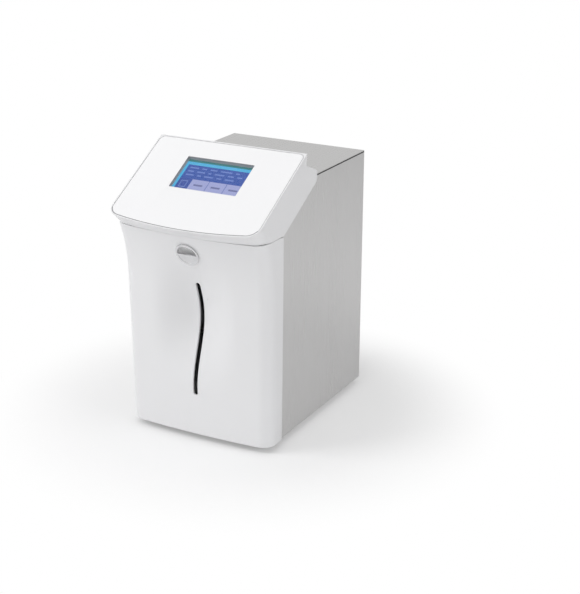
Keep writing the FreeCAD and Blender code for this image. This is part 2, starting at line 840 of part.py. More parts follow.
def make_case():
    half, sheet_t = CASE_WIDTH / 2, s.case_sheet
    floor, wall_top = s.foot_height, CASE_TOP - sheet_t - s.seal_thickness
    outer_body = new_body("case_outer")
    side = outline(sketch_on(outer_body, "YZ_Plane", "case_side"), [
        (s.case_front, floor),
        (s.case_rear, floor),
        (s.case_rear, wall_top),
        (s.cover_front, wall_top),
        (s.case_front + s.case_slope_run, s.bay_top + s.case_slope_rise),
        (s.case_front, s.bay_top - s.case_slope_rise),
    ])
    pad(outer_body, side, CASE_WIDTH, symmetric=True, name="case_outer_pad")
    flange = s.flange_width
    hollow = box("case_hollow", (-half + sheet_t, half - sheet_t), (s.case_front - 5, s.case_rear + 5),
                 (floor + sheet_t, wall_top - sheet_t))
    mouth = box("case_mouth", (-half + flange, half - flange), (s.case_front - 5, s.case_rear + 5),
                (wall_top - 5, wall_top + 5))
    nose = box("case_nose", (-half + sheet_t, half - sheet_t), (s.case_front - 5, s.cover_front),
               (s.bay_top - 20, wall_top + 5))
    tongue = box("case_tongue", (-HINGE_OUTER, HINGE_OUTER),
                 (s.floor_front, s.case_front + 5), (floor, floor + sheet_t))
    holes = [rod("floor_hole_%d%d" % (m, n), "z", s.foot_screw_radius + s.screw_play, x, y,
                 (floor - 5, floor + 5))
             for m, x in enumerate(FOOT_X) for n, y in enumerate(FOOT_Y)]
    bend = box("rear_flange", (half - sheet_t - s.rear_flange, half - sheet_t),
               (s.case_rear - 2 * sheet_t, s.case_rear - sheet_t), (floor, wall_top - sheet_t))
    folded = joined("case_solid", cut("case_shell", outer_body, hollow, mouth, nose), tongue,
                    bend, mirrored("rear_flange_twin", bend))
    case = cut("case_body", folded, *holes, *rear_screw_row("case_screw_hole", SCREW_CLEARANCE))
    lid = box("top_cover", (-half, half), (s.cover_front, s.case_rear), (CASE_TOP - sheet_t, CASE_TOP))
    seal = box("cover_seal", (half - 4, half), (s.cover_front, s.case_rear), (wall_top, CASE_TOP - sheet_t))
    return [case, lid, pair("cover_seals", seal)]



def rear_screw_row(label, grow, head=False):
    """A shank for each screw that holds the rear panel to the case's flanges, with its head if asked."""
    x = CASE_WIDTH / 2 - s.case_sheet - s.rear_flange / 2
    low = s.foot_height + s.rear_screw_inset
    top = CASE_TOP - s.rear_screw_inset
    row = []
    for m, across in enumerate((-x, x)):
        for n, z in enumerate((low, (low + top) / 2, top)):
            mark = "%s_%d%d" % (label, m, n)
            shank = rod(mark, "y", s.rear_screw_radius + grow, across,
                        (s.case_rear - s.rear_screw_length, s.case_rear), z)
            if head:
                cap = rod(mark + "_head", "y", s.rear_screw_head, across,
                          (s.case_rear, s.case_rear + s.rear_screw_height), z)
                row.append(joined(mark + "_screw", shank, cap))
            else:
                row.append(shank)
    return row


def make_feet():
    feet, screws = [], []
    for m, x in enumerate(FOOT_X):
        for n, y in enumerate(FOOT_Y):
            label = "%d%d" % (m, n)
            pad_rod = rod("foot_%s_pad" % label, "z", s.foot_radius, x, y, (formula(0), s.foot_height))
            well = rod("foot_%s_well" % label, "z", s.foot_screw_radius * 2 + 0.5, x, y,
                       (formula(-1), s.foot_height / 2))
            hole = rod("foot_%s_hole" % label, "z", s.foot_screw_radius + s.screw_play, x, y,
                       (formula(-1), s.foot_height + 1))
            feet.append(cut("foot_" + label, pad_rod, well, hole))
            head = rod("foot_screw_%s_head" % label, "z", s.foot_screw_radius * 2, x, y,
                       (s.foot_height / 2 - s.foot_screw_head, s.foot_height / 2))
            shank = rod("foot_screw_%s_shank" % label, "z", s.foot_screw_radius, x, y,
                        (s.foot_height / 2, s.foot_height + s.case_sheet + s.foot_screw_reach))
            screws.append(joined("foot_screw_" + label, head, shank))
    return [group("rubber_feet", *feet), group("foot_screws", *screws)]


# Rear panel with its sockets and reagent fittings

FITTINGS = 4
VENT_SLOTS = 7


def socket_hole(label, x, half_x, half_z, through):
    """A hole in the panel with a little play round a socket."""
    play = s.socket_play
    return box(label, (x - half_x - play, x + half_x + play), through,
               (s.socket_z - half_z - play, s.socket_z + half_z + play))


def make_rear():
    half, sheet_t = CASE_WIDTH / 2 - s.case_sheet - s.fit_gap, s.case_sheet
    y = (s.case_rear - sheet_t, s.case_rear)
    low, top = s.foot_height + sheet_t, CASE_TOP - 2 * sheet_t - s.seal_thickness
    through = (y[0] - OVERRUN, y[1] + OVERRUN)
    blank = box("rear_blank", (-half, half), y, (low, top))
    tools = [
        socket_hole(name, x, half_x, half_z, through)
        for name, x, half_x, half_z in (
            ("inlet_hole", s.inlet_x, s.inlet_half_width, s.inlet_half_height),
            ("switch_hole", s.switch_x, s.switch_half_width, s.switch_half_height),
            ("serial_hole", s.serial_x, s.serial_half_width, s.serial_half_height),
            ("usb_hole", s.usb_x, s.usb_half_width, s.usb_half_height),
        )
    ]
    for n in range(FITTINGS):
        tools.append(rod("fitting_hole_%d" % n, "y", s.fitting_radius + 0.1,
                         s.fitting_x + n * s.fitting_pitch,
                         through, s.fitting_z))
    for n in range(VENT_SLOTS):
        z = s.vent_z + n * s.vent_pitch
        tools.append(box("vent_slot_%d" % n, (-s.vent_length / 2, s.vent_length / 2), through,
                         (z, z + s.vent_width)))
    panel = cut("rear_panel", blank, *tools, *rear_screw_row("panel_screw_hole", SCREW_CLEARANCE))
    screws = group("rear_screws", *rear_screw_row("rear_screw", 0, head=True))
    return [panel, screws, *make_sockets(y), *make_fittings(y)]


def socket(label, x, z, half_x, half_z, y, depth, flange, proud):
    """A rectangular socket: a flange outside the panel and a body inside it."""
    body = box(label + "_body", (x - half_x, x + half_x), (y[0] - depth, y[1]), (z - half_z, z + half_z))
    rim = box(label + "_rim", (x - half_x - flange, x + half_x + flange), (y[1], y[1] + proud),
              (z - half_z - flange, z + half_z + flange))
    return joined(label + "_solid", body, rim)


def make_sockets(y):
    z = s.socket_z
    inlet = socket("power_inlet", s.inlet_x, z, s.inlet_half_width, s.inlet_half_height, y, 20, 2.5, 3)
    well = box("inlet_well", (s.inlet_x - 12, s.inlet_x + 12), (y[1] - 14, y[1] + 5), (z - 8, z + 8))
    pins = [box("inlet_pin_%d" % n, (s.inlet_x + x - 1, s.inlet_x + x + 1), (y[1] - 15, y[1] - 3),
                (z + dz - 2, z + dz + 2))
            for n, (x, dz) in enumerate(((-7, -2), (0, 2), (7, -2)))]
    frame = socket("switch_frame", s.switch_x, z, s.switch_half_width, s.switch_half_height, y, 12, 1.5, 1.5)
    cavity = box("switch_cavity", (s.switch_x - 8, s.switch_x + 8), (y[1] - 9, y[1] + 5), (z - 5.2, z + 5.2))
    rocker_round = rod("rocker_round", "z", s.rocker_radius, s.switch_x, y[1] - 4, (z - 4.9, z + 4.9))
    rocker_bar = box("rocker_bar", (s.switch_x - 6.8, s.switch_x + 6.8), (y[1] - 3.4, y[1] + 2.4),
                     (z - 4.9, z + 4.9))
    dip = rod("rocker_dip", "z", s.rocker_dip_radius, s.switch_x, y[1] + s.rocker_dip_radius, (z - 9, z + 9))
    serial = socket("serial_port", s.serial_x, z, s.serial_half_width, s.serial_half_height, y, 10, 5, 1)
    shell = box("serial_shell", (s.serial_x - 8.4, s.serial_x + 8.4), (y[1], y[1] + 6), (z - 4.4, z + 4.4))
    mouth = box("serial_mouth", (s.serial_x - 7.6, s.serial_x + 7.6), (y[1] - 1, y[1] + 8),
                (z - 3.6, z + 3.6))
    usb = socket("usb_port", s.usb_x, z, s.usb_half_width, s.usb_half_height, y, 14, 0.8, 0.6)
    usb_mouth = box("usb_mouth", (s.usb_x - 4.3, s.usb_x + 4.3), (y[1] - 9, y[1] + 5), (z - 3.9, z + 3.9))
    return [
        joined("power_inlet", cut("inlet_hollow", inlet, well), *pins),
        cut("switch_frame", frame, cavity),
        cut("switch_rocker", joined("rocker_solid", rocker_round, rocker_bar), dip),
        cut("serial_port", joined("serial_solid", serial, shell), mouth),
        cut("usb_port", usb, usb_mouth),
    ]



def make_fittings(y):
    barbs, nuts = [], []
    reach = s.fitting_reach
    for n in range(FITTINGS):
        x, z = s.fitting_x + n * s.fitting_pitch, s.fitting_z
        stem = rod("fitting_%d_stem" % n, "y", s.fitting_radius, x, (y[0] - s.fitting_stem, y[1]), z)
        collar = rod("fitting_%d_collar" % n, "y", s.fitting_radius + s.fitting_collar, x,
                     (y[1], y[1] + reach * 0.35), z)
        spigot = rod("fitting_%d_spigot" % n, "y", s.spigot_radius, x, (y[1], y[1] + reach), z)
        bore = rod("fitting_%d_bore" % n, "y", s.spigot_radius - 1, x, (y[0] - 20, y[1] + reach + 5), z)
        barbs.append(cut("fitting_%d" % n, joined("fitting_%d_solid" % n, stem, collar, spigot), bore))
        nut = rod("fitting_%d_nut" % n, "y", s.fitting_radius + s.fitting_collar, x,
                  (y[0] - s.fitting_nut, y[0]), z)
        hole = rod("fitting_%d_nut_hole" % n, "y", s.fitting_radius, x, (y[0] - 6, y[0] + 2), z)
        nuts.append(cut("fitting_nut_%d" % n, nut, hole))
    return [group("reagent_fittings", *barbs), group("fitting_nuts", *nuts)]


# Bay panel, which carries the fluid parts, and the electronics behind it

PANEL = (s.bay_depth, s.bay_depth + s.case_sheet)


def make_bay_panel():
    half = CASE_WIDTH / 2 - s.case_sheet - s.fit_gap
    floor = s.foot_height + s.case_sheet
    face = box("bay_face", (-half, half), PANEL, (floor, s.bay_top))
    foot = box("bay_foot", (-half, half), (s.bay_depth, s.bay_depth + s.bay_foot_depth),
               (floor, floor + s.case_sheet))
    shelf = box("bay_shelf", (-half, half), (s.bay_depth - s.bay_shelf_depth, s.bay_depth),
                (s.bay_top - s.case_sheet, s.bay_top))
    shaft = rod("bay_shaft_hole", "y", formula(7), s.pump_x, (PANEL[0] - 5, PANEL[1] + 5), s.pump_z)
    screws = []
    for m, x in enumerate((-half + s.bay_screw_inset, half - s.bay_screw_inset)):
        for n, z in enumerate((floor + 22, s.bay_top - 14)):
            screws.append(rod("bay_screw_%d%d" % (m, n), "y", s.bay_screw_head, x,
                              (s.bay_depth - s.bay_screw_height, s.bay_depth), z))
    catch, brackets = make_catch()
    solid = joined("bay_solid", face, foot, shelf, brackets)
    return [cut("bay_panel", solid, shaft), group("bay_screws", *screws), *catch]


SUPPLY_SLOTS = 8


def make_electronics():
    floor = s.foot_height + s.case_sheet
    wall = -CASE_WIDTH / 2 + s.case_sheet
    board_x = wall + s.board_stand
    y, z = (s.bay_depth + s.board_start, s.case_rear - s.board_end), (s.board_low, s.board_high)
    blank = box("board_blank", (board_x, board_x + s.board_thickness), y, z)
    chips = [box("board_chip_%d" % n, (board_x + s.board_thickness, board_x + s.board_thickness + h),
                 (y[0] + a, y[0] + a + w), (z[0] + b, z[0] + b + t))
             for n, (a, b, w, t,
                     h) in enumerate(((10, 12, 24, 24, 3), (50, 60, 30, 14, 3), (50, 14, 12, 30, 9),
                                                  (12, 60, 22, 30, 6), (80, 12, 16, 70, 11)))]
    corner = s.board_post_inset
    posts = [rod("board_post_%d%d" % (m, n), "x", s.board_post_radius, (wall, board_x), yy, zz)
             for m, yy in enumerate((y[0] + corner, y[1] - corner))
             for n, zz in enumerate((z[0] + corner, z[1] - corner))]
    low, top = floor + s.supply_stand, floor + s.supply_stand + s.supply_height
    front, rear = s.supply_front, s.supply_rear
    supply = box("supply_case", (s.supply_left, s.supply_right), (front, rear), (low, top))
    slots = []
    for n in range(SUPPLY_SLOTS):
        start = front + s.supply_slot_width * 2 + s.supply_slot_pitch * n
        slots.append(box("supply_slot_%d" % n,
                         (s.supply_left + s.supply_slot_inset, s.supply_right - s.supply_slot_inset),
                         (start, start + s.supply_slot_width), (top - 4, top + OVERRUN)))
    inset = s.supply_post_inset
    legs = [rod("supply_post_%d%d" % (m, n), "z", s.supply_post_radius, x, yy, (floor, low))
            for m, x in enumerate((s.supply_left + inset, s.supply_right - inset))
            for n, yy in enumerate((front + inset, rear - inset))]
    return [joined("main_board", blank, *chips), cut("power_supply", supply, *slots),
            group("standoffs", *posts, *legs)]


# Sample probe: an arm on a cross shaft, whose needle swings out through the slot

def make_probe():
    z, y = s.probe_height, s.probe_depth
    back = s.bay_depth
    ear_in = s.probe_arm_width / 2 + s.probe_ear_gap
    ear_out = ear_in + s.probe_ear
    round_end = s.probe_ear_radius
    plate = box("bracket_plate", (-ear_out, ear_out), (back - 5, back), (z - 18, z + 22))
    ears = []
    for name, x in (("right", (ear_in, ear_out)), ("left", (-ear_out, -ear_in))):
        ears.append(box("ear_" + name, x, (y, back), (z - round_end, z + round_end)))
        ears.append(rod("ear_end_" + name, "x", round_end, x, y, z))
    bore = rod("bracket_bore", "x", s.probe_shaft_radius + s.running_gap, (-ear_out - 5, ear_out + 5), y, z)
    bracket = cut("probe_bracket", joined("bracket_solid", plate, *ears), bore)
    shaft = rod("probe_shaft", "x", s.probe_shaft_radius, (-ear_out - 1, ear_out + 8), y, z)
    hub = rod("arm_hub", "x", s.probe_hub_radius, (-ear_in + s.fit_gap, ear_in - s.fit_gap), y, z)
    half = s.probe_arm_width / 2
    needle_y = y - s.probe_offset
    arm = box("arm_bar", (-half, half), (needle_y - 3, y), (z - 5, z + 5))
    sleeve = rod("arm_sleeve", "z", half, 0, needle_y, (z - 34, z - 2))
    arm_bore = rod("arm_bore", "x", s.probe_shaft_radius, (-ear_out, ear_out), y, z)
    channel = rod("arm_channel", "z", s.needle_radius, 0, needle_y, (z - 40, z - 4))
    needle = rod("needle_tube", "z", s.needle_radius, 0, needle_y, (s.probe_tip, z - 4))
    hole = rod("needle_hole", "z", s.needle_radius / 2, 0, needle_y, (s.probe_tip - 2, z - 6))
    box_end, box_half = ear_out + s.probe_gearbox, s.probe_gearbox_half
    gearbox = box("probe_gearbox", (ear_out, box_end), (y - box_half, y + box_half),
                  (z - box_half, z + box_half))
    can = rod("probe_can", "x", s.probe_can_radius, (box_end, box_end + s.probe_gearbox), y, z)
    motor_bore = rod("probe_motor_bore", "x", s.probe_shaft_radius + s.running_gap,
                     (ear_out - 1, ear_out + 8.3), y, z)
    cup_y = needle_y
    cup = rod("cup_outer", "z", s.cup_radius, 0, cup_y, (s.probe_tip - 26, s.probe_tip - 5))
    cup_in = rod("cup_inner", "z", s.cup_radius - s.cup_wall, 0, cup_y, (s.probe_tip - 23, s.probe_tip))
    bar = box("cup_bar", (-s.cup_bar_half, s.cup_bar_half), (cup_y + s.cup_radius - 1, back),
              (s.probe_tip - 24, s.probe_tip - 14))
    return [bracket, shaft, cut("probe_arm", joined("arm_solid", hub, arm, sleeve), arm_bore, channel),
            cut("probe_needle", needle, hole),
            cut("probe_motor", joined("motor_solid", gearbox, can), motor_bore),
            cut("wash_cup", joined("cup_solid", cup, bar), cup_in)]


# Roller pump: a rotor whose rollers press a tube against a round race

ROLLERS = 3
TUBE_PLAY = 0.1


def make_pump():
    x, z, half = s.pump_x, s.pump_z, s.pump_size / 2
    front_y, deck = s.pump_front, s.pump_front + s.pump_deck
    disc = s.roller_circle + s.rotor_rim
    block = box("pump_block", (x - half, x + half), (front_y, s.bay_depth), (z - half, z + half))
    race = rod("pump_race", "y", s.race_radius, x, (front_y - 1, deck), z)
    mouth = box("pump_mouth", (x - s.race_radius, x + s.race_radius), (front_y - 1, deck), (z - half - 1, z))
    shaft_bore = rod("pump_shaft_bore", "y", s.pump_shaft_radius + 1, x, (front_y, s.bay_depth + 1), z)
    body = cut("pump_body", block, race, mouth, shaft_bore)
    shaft = rod("rotor_shaft", "y", s.pump_shaft_radius, x, (deck - 2, PANEL[1] + 14), z)
    hub = rod("rotor_hub", "y", s.pump_hub_radius, x, (front_y + s.rotor_plate, deck - 1), z)
    cap = rod("rotor_cap", "y", disc, x, (front_y - 1, front_y + s.rotor_plate), z)
    base = rod("rotor_base", "y", disc, x, (deck - 1 - s.rotor_plate, deck - 1), z)
    bores, rollers = [], []
    for n in range(ROLLERS):
        angle = math.radians(90 + 360 * n / ROLLERS)
        px, pz = x + s.roller_circle * math.cos(angle), z + s.roller_circle * math.sin(angle)
        bores.append(rod("rotor_pin_hole_%d" % n, "y", s.roller_pin_radius + s.running_gap, px,
                         (front_y - 2, deck), pz))
        wheel = rod("roller_%d" % n, "y", s.roller_radius, px, (front_y + 2.3, deck - 3.3), pz)
        pin = rod("roller_pin_%d" % n, "y", s.roller_pin_radius, px, (front_y - 1.5, deck - 1), pz)
        rollers.append(joined("pump_roller_%d" % (n + 1), wheel, pin))
    rotor = cut("pump_rotor", joined("rotor_solid", cap, base, hub, shaft), *bores)
    motor = rod("pump_motor_can", "y", s.pump_motor_radius, x, (PANEL[1], PANEL[1] + s.pump_motor_length), z)
    motor_bore = rod("pump_motor_bore", "y", s.pump_shaft_radius + s.running_gap, x,
                     (PANEL[1] - 1, PANEL[1] + 14.3), z)
    tube = pump_tube(front_y + s.pump_deck / 2)
    return [body, rotor, *rollers, cut("pump_motor", motor, motor_bore), tube]



def pump_tube(y):
    """The squeezed tube: a half turn round the race with two straight tails."""
    x, z = float(s.pump_x), float(s.pump_z)
    radius = float(s.race_radius - s.pump_tube_radius) - TUBE_PLAY
    depth = float(y)
    tail = float(s.pump_size / 2 + s.tube_tail)
    points = [FreeCAD.Vector(x - radius, depth, z - tail), FreeCAD.Vector(x - radius, depth, z),
              FreeCAD.Vector(x, depth, z + radius), FreeCAD.Vector(x + radius, depth, z),
              FreeCAD.Vector(x + radius, depth, z - tail)]
    path = Part.Wire([Part.makeLine(points[0], points[1]), Part.Arc(*points[1:4]).toShape(),
                      Part.makeLine(points[3], points[4])])
    return swept("pump_tube", path, float(s.pump_tube_radius))


def swept(label, path, radius):
    """A round tube, solid inside, along a path of lines and arcs."""
    start = path.Edges[0]
    ring = Part.Wire(Part.makeCircle(radius, start.valueAt(start.FirstParameter),
                                     start.tangentAt(start.FirstParameter)))
    item = doc.addObject("Part::Feature", label)
    item.Shape = path.makePipeShell([ring], True, True)
    return place(item, 0, 0, 0)


# Electrode module: a stack of flow-through electrodes held in a rail by a clamp screw

ELECTRODES = ("reference", "chloride", "calcium", "potassium", "sodium")
KNOB_FLUTES = 10


def make_module():
    x, half = s.module_x, s.electrode_width / 2
    y = (s.electrode_front, s.electrode_front + s.electrode_depth)
    base = s.module_z + s.end_block
    stack = s.electrode_height * len(ELECTRODES)
    bridge = base + stack + s.end_block + 5
    back = box("rail_back", (x - half - 6, x + half + 6), (y[1] + s.fit_gap, s.bay_depth),
               (s.module_z, bridge + s.rail_bridge))
    sill = box("rail_sill", (x - half - 2, x + half + 2), (y[0], y[1] + 1), (s.module_z, base))
    arch = box("rail_arch", (x - half - 2, x + half + 2), (y[0] + 4, y[1] + 1),
               (bridge, bridge + s.rail_bridge))
    screw_y = (y[0] + y[1]) / 2
    thread = rod("rail_thread", "z", s.knob_stem_radius + s.running_gap, x, screw_y,
                 (bridge - 1, bridge + s.rail_bridge + 1))
    rail = cut("electrode_rail", joined("rail_solid", back, sill, arch), thread)
    pieces = [rail]
    for n, label in enumerate(ELECTRODES):
        z = (base + n * s.electrode_height, base + (n + 1) * s.electrode_height)
        pieces.append(electrode(label + "_electrode", x, half, y, z))
    press = (base + stack, base + stack + s.end_block)
    block = box("end_block_solid", (x - half, x + half), y, press)
    seat = rod("end_block_seat", "z", s.end_block_seat, x, screw_y, (press[1] - s.knob_stand, press[1] + 1))
    pieces.append(cut("electrode_end_block", block, seat))
    stem = rod("knob_stem", "z", s.knob_stem_radius, x, screw_y,
               (press[1] - s.knob_stand + s.fit_gap, bridge + s.rail_bridge + s.knob_stand))
    body = new_body("knob_grip")
    place(body, x, screw_y, bridge + s.rail_bridge + s.knob_stand)
    sketch = sketch_on(body, "XY_Plane", "knob_outline")
    sketch.addGeometry(Part.Circle(FreeCAD.Vector(0, 0, 0), FreeCAD.Vector(0, 0, 1), float(s.knob_radius)))
    sketch.addConstraint(Sketcher.Constraint("Coincident", 0, 3, -1, 1))
    item = sketch.addConstraint(Sketcher.Constraint("Radius", 0, float(s.knob_radius)))
    sketch.setExpression("Constraints[%d]" % item, s.knob_radius.text)
    pad(body, sketch, s.knob_height, name="knob_pad")
    notch = sketch_on(body, "XY_Plane", "knob_notch")
    away, flute = s.knob_radius + s.flute_offset, s.flute_radius
    notch.addGeometry(Part.Circle(FreeCAD.Vector(0, float(away), 0), FreeCAD.Vector(0, 0, 1), float(flute)))
    notch.addConstraint(Sketcher.Constraint("PointOnObject", 0, 3, -2))
    item = notch.addConstraint(Sketcher.Constraint("DistanceY", -1, 1, 0, 3, float(away)))
    notch.setExpression("Constraints[%d]" % item, away.text)
    item = notch.addConstraint(Sketcher.Constraint("Radius", 0, float(flute)))
    notch.setExpression("Constraints[%d]" % item, flute.text)
    pocket = body.newObject("PartDesign::Pocket", "knob_flute")
    pocket.Profile = notch
    pocket.Type = "ThroughAll"
    pocket.Reversed = True
    doc.recompute()
    ring = body.newObject("PartDesign::PolarPattern", "knob_flutes")
    ring.Originals = [pocket]
    ring.Axis = (notch, ["N_Axis"])
    ring.Angle = 360
    ring.Occurrences = KNOB_FLUTES
    body.Tip = ring
    pieces.append(joined("clamp_knob", body, stem))
    return pieces


def electrode(label, x, half, y, z):
    """A flow-through electrode: a block with a round sight boss and a side contact pin."""
    block = box(label + "_block", (x - half, x + half), y, (z[0], z[1]))
    middle = (z[0] + z[1]) / 2
    boss = rod(label + "_boss", "y", s.electrode_height * 0.36, x, (y[0] - 3, y[0]), middle)
    eye = rod(label + "_eye", "y", s.electrode_height * 0.24, x, (y[0] - 4, y[0] + 3), middle)
    pin = rod(label + "_pin", "x", s.contact_radius, (x + half, x + half + s.contact_length),
              (y[0] + y[1]) / 2, middle)
    bore = rod(label + "_bore", "z", s.sample_bore, x, (y[0] + y[1]) / 2 + 4, (z[0] - 1, z[1] + 1))
    groove = box(label + "_groove", (x - half - 1, x - half + 2), (y[0] - 1, y[1] + 1),
                 (middle - 3, middle + 3))
    return cut(label, joined(label + "_solid", block, boss, pin), eye, bore, groove)


# Pinch valves and the sample detector

VALVES = 2


def make_valves():
    bodies, plungers = [], []
    for n in range(VALVES):
        x, z = s.valve_x + n * s.valve_pitch, s.valve_z
        can = rod("valve_%d_can" % n, "y", s.valve_radius, x, (s.valve_front + 9, s.bay_depth), z)
        nose = box("valve_%d_nose" % n, (x - 7, x + 7), (s.valve_front, s.valve_front + 9), (z - 7, z + 7))
        slit = box("valve_%d_slit" % n, (x - 2, x + 2), (s.valve_front + 2, s.valve_front + 6),
                   (z - 8, z + 8))
        gate = box("valve_%d_gate" % n, (x - 8, x - 1), (s.valve_front + 2.4, s.valve_front + 5.6),
                   (z - 8, z + 8))
        bore = rod("valve_%d_bore" % n, "y", s.plunger_radius + s.running_gap, x,
                   (s.valve_front - 1, s.valve_front + 24), z)
        bodies.append(cut("valve_%d" % n, joined("valve_%d_solid" % n, can, nose), slit, gate, bore))
        plungers.append(rod("valve_plunger_%d" % (n + 1), "y", s.plunger_radius, x,
                            (s.valve_front + 7.4, s.valve_front + 21), z))
    x, z = s.detector_x, s.detector_z
    block = box("detector_block", (x - 8, x + 8), (s.bay_depth - 22, s.bay_depth), (z - 9, z + 9))
    groove = box("detector_groove", (x - 1.8, x + 1.8), (s.bay_depth - 23, s.bay_depth - 14),
                 (z - 10, z + 10))
    return [group("valve_bodies", *bodies), *plungers, cut("sample_detector", block, groove)]


def bent_tube(label, radius, bend, *points):
    """A tube of straight runs joined by tangent arcs of one radius."""
    corners = [FreeCAD.Vector(*(float(amount) for amount in point)) for point in points]
    radius, bend = float(radius), float(bend)
    edges, start = [], corners[0]
    for before, corner, after in zip(corners, corners[1:], corners[2:]):
        into = (corner - before).normalize()
        out = (after - corner).normalize()
        turn = into.getAngle(out)
        back = bend * math.tan(turn / 2)
        entry, leave = corner - into * back, corner + out * back
        towards = (out - into).normalize()
        middle = corner + towards * (bend / math.cos(turn / 2) - bend)
        edges += [Part.makeLine(start, entry), Part.Arc(entry, middle, leave).toShape()]
        start = leave
    edges.append(Part.makeLine(start, corners[-1]))
    return swept(label, Part.Wire(edges), radius)


def make_tubes():
    reach = s.race_radius - s.pump_tube_radius - TUBE_PLAY
    left, right = s.pump_x - reach, s.pump_x + reach
    depth = s.pump_front + s.pump_deck / 2
    high = s.pump_z - s.pump_size / 2 - s.tube_tail
    low = high - s.tube_drop
    waste = bent_tube("waste_tube", s.pump_tube_radius, s.tube_bend,
                      (left, depth, high), (left, depth, low), (left, s.bay_depth, low))
    sample = bent_tube("sample_tube", s.pump_tube_radius, s.tube_bend,
                       (right, depth, high), (right, depth, low),
                       (s.module_x, depth, low), (s.module_x, depth, s.module_z))
    feeds = []
    for n in range(VALVES):
        x, y = s.valve_x + n * s.valve_pitch, s.valve_front + 4
        top = s.valve_z + 26
        feeds.append(bent_tube("feed_tube_%d" % n, s.feed_tube_radius, s.feed_tube_bend,
                               (x, y, s.valve_z - 22), (x, y, top), (x, s.bay_depth, top)))
    return [waste, sample, group("reagent_tubes", *feeds)]


# Write each piece to its file

parts = [make_head(), make_fascia(), *make_display(), make_door(), make_pull(), *make_door_hardware(),
         *make_case(), *make_feet(), *make_rear(), *make_bay_panel(), *make_electronics(), *make_probe(),
         *make_pump(), *make_module(), *make_valves(), *make_tubes()]
doc.recompute()
for item in doc.Objects:
    if "Invalid" in item.State or "Error" in item.State:
        raise RuntimeError("%s failed: %s" % (item.Label, item.State))
for part in parts:
    if part.Shape.isNull() or not part.Shape.isValid():
        raise RuntimeError("%s has no valid shape" % part.Label)
for part in parts:
    part.Shape.exportStep("parts/%s.step" % part.Label)
print(len(parts), "sub-parts")
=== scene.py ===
"""An electrolyte analyzer for the bench: its moulded white front, its steel case and all that is inside."""

import json
import math

import bmesh
import bpy
from mathutils import Matrix, Vector, geometry

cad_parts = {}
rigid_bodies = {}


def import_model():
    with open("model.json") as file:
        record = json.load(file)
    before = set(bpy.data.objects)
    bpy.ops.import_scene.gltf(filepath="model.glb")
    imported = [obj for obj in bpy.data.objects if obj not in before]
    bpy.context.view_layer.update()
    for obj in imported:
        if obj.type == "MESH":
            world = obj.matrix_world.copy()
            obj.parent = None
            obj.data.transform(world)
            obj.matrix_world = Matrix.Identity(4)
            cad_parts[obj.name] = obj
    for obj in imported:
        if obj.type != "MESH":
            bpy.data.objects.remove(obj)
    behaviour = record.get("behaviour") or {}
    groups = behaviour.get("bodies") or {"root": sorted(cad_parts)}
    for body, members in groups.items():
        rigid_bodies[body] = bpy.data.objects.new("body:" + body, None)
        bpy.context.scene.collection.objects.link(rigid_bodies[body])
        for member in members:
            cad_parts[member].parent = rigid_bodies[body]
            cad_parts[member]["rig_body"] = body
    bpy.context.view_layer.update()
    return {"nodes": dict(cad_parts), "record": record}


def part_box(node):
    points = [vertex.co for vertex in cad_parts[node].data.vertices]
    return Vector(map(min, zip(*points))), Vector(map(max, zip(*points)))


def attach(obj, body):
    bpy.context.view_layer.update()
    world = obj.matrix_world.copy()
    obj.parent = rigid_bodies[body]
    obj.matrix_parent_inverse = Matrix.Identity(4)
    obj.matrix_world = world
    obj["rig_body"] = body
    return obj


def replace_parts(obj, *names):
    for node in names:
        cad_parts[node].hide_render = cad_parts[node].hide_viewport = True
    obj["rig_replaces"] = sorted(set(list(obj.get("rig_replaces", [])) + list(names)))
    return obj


bl_info = {
    "name": "Electrolyte Analyzer",
    "version": (1, 0, 0),
    "blender": (4, 5, 0),
    "location": "3D View > Sidebar > Analyzer",
    "description": "Dresses the analyzer's parts and sets up its studio",
    "category": "Object",
}

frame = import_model()

MM = 0.001
SLOT_OF = {part["node"]: part["material_slot"] for part in frame["record"]["subparts"]}
FINISHES = {}


# Node trees

# A Mix node's sockets for colours, which share their names with its other sockets
MIX_LOW, MIX_HIGH, MIX_RESULT = 6, 7, 2


class Value:
    """A node's output, so that sums of outputs are written as plain expressions."""

    def __init__(self, graph, socket):
        self.graph = graph
        self.socket = socket

    def __add__(self, other):
        return self.graph.math("ADD", self, other)

    def __radd__(self, other):
        return self.graph.math("ADD", other, self)

    def __mul__(self, other):
        return self.graph.math("MULTIPLY", self, other)

    def __rmul__(self, other):
        return self.graph.math("MULTIPLY", other, self)


class Graph:
    """A node tree and the methods that add nodes to it."""

    def __init__(self, tree):
        self.tree = tree

    def node(self, kind, settings=None, inputs=None, output=0):
        made = self.tree.nodes.new(kind)
        for name, value in (settings or {}).items():
            setattr(made, name, value)
        for key, value in (inputs or {}).items():
            if isinstance(value, Value):
                self.tree.links.new(value.socket, made.inputs[key])
            else:
                made.inputs[key].default_value = value
        return Value(self, made.outputs[output])

    def math(self, operation, first, second):
        return self.node("ShaderNodeMath", {"operation": operation}, {0: first, 1: second})


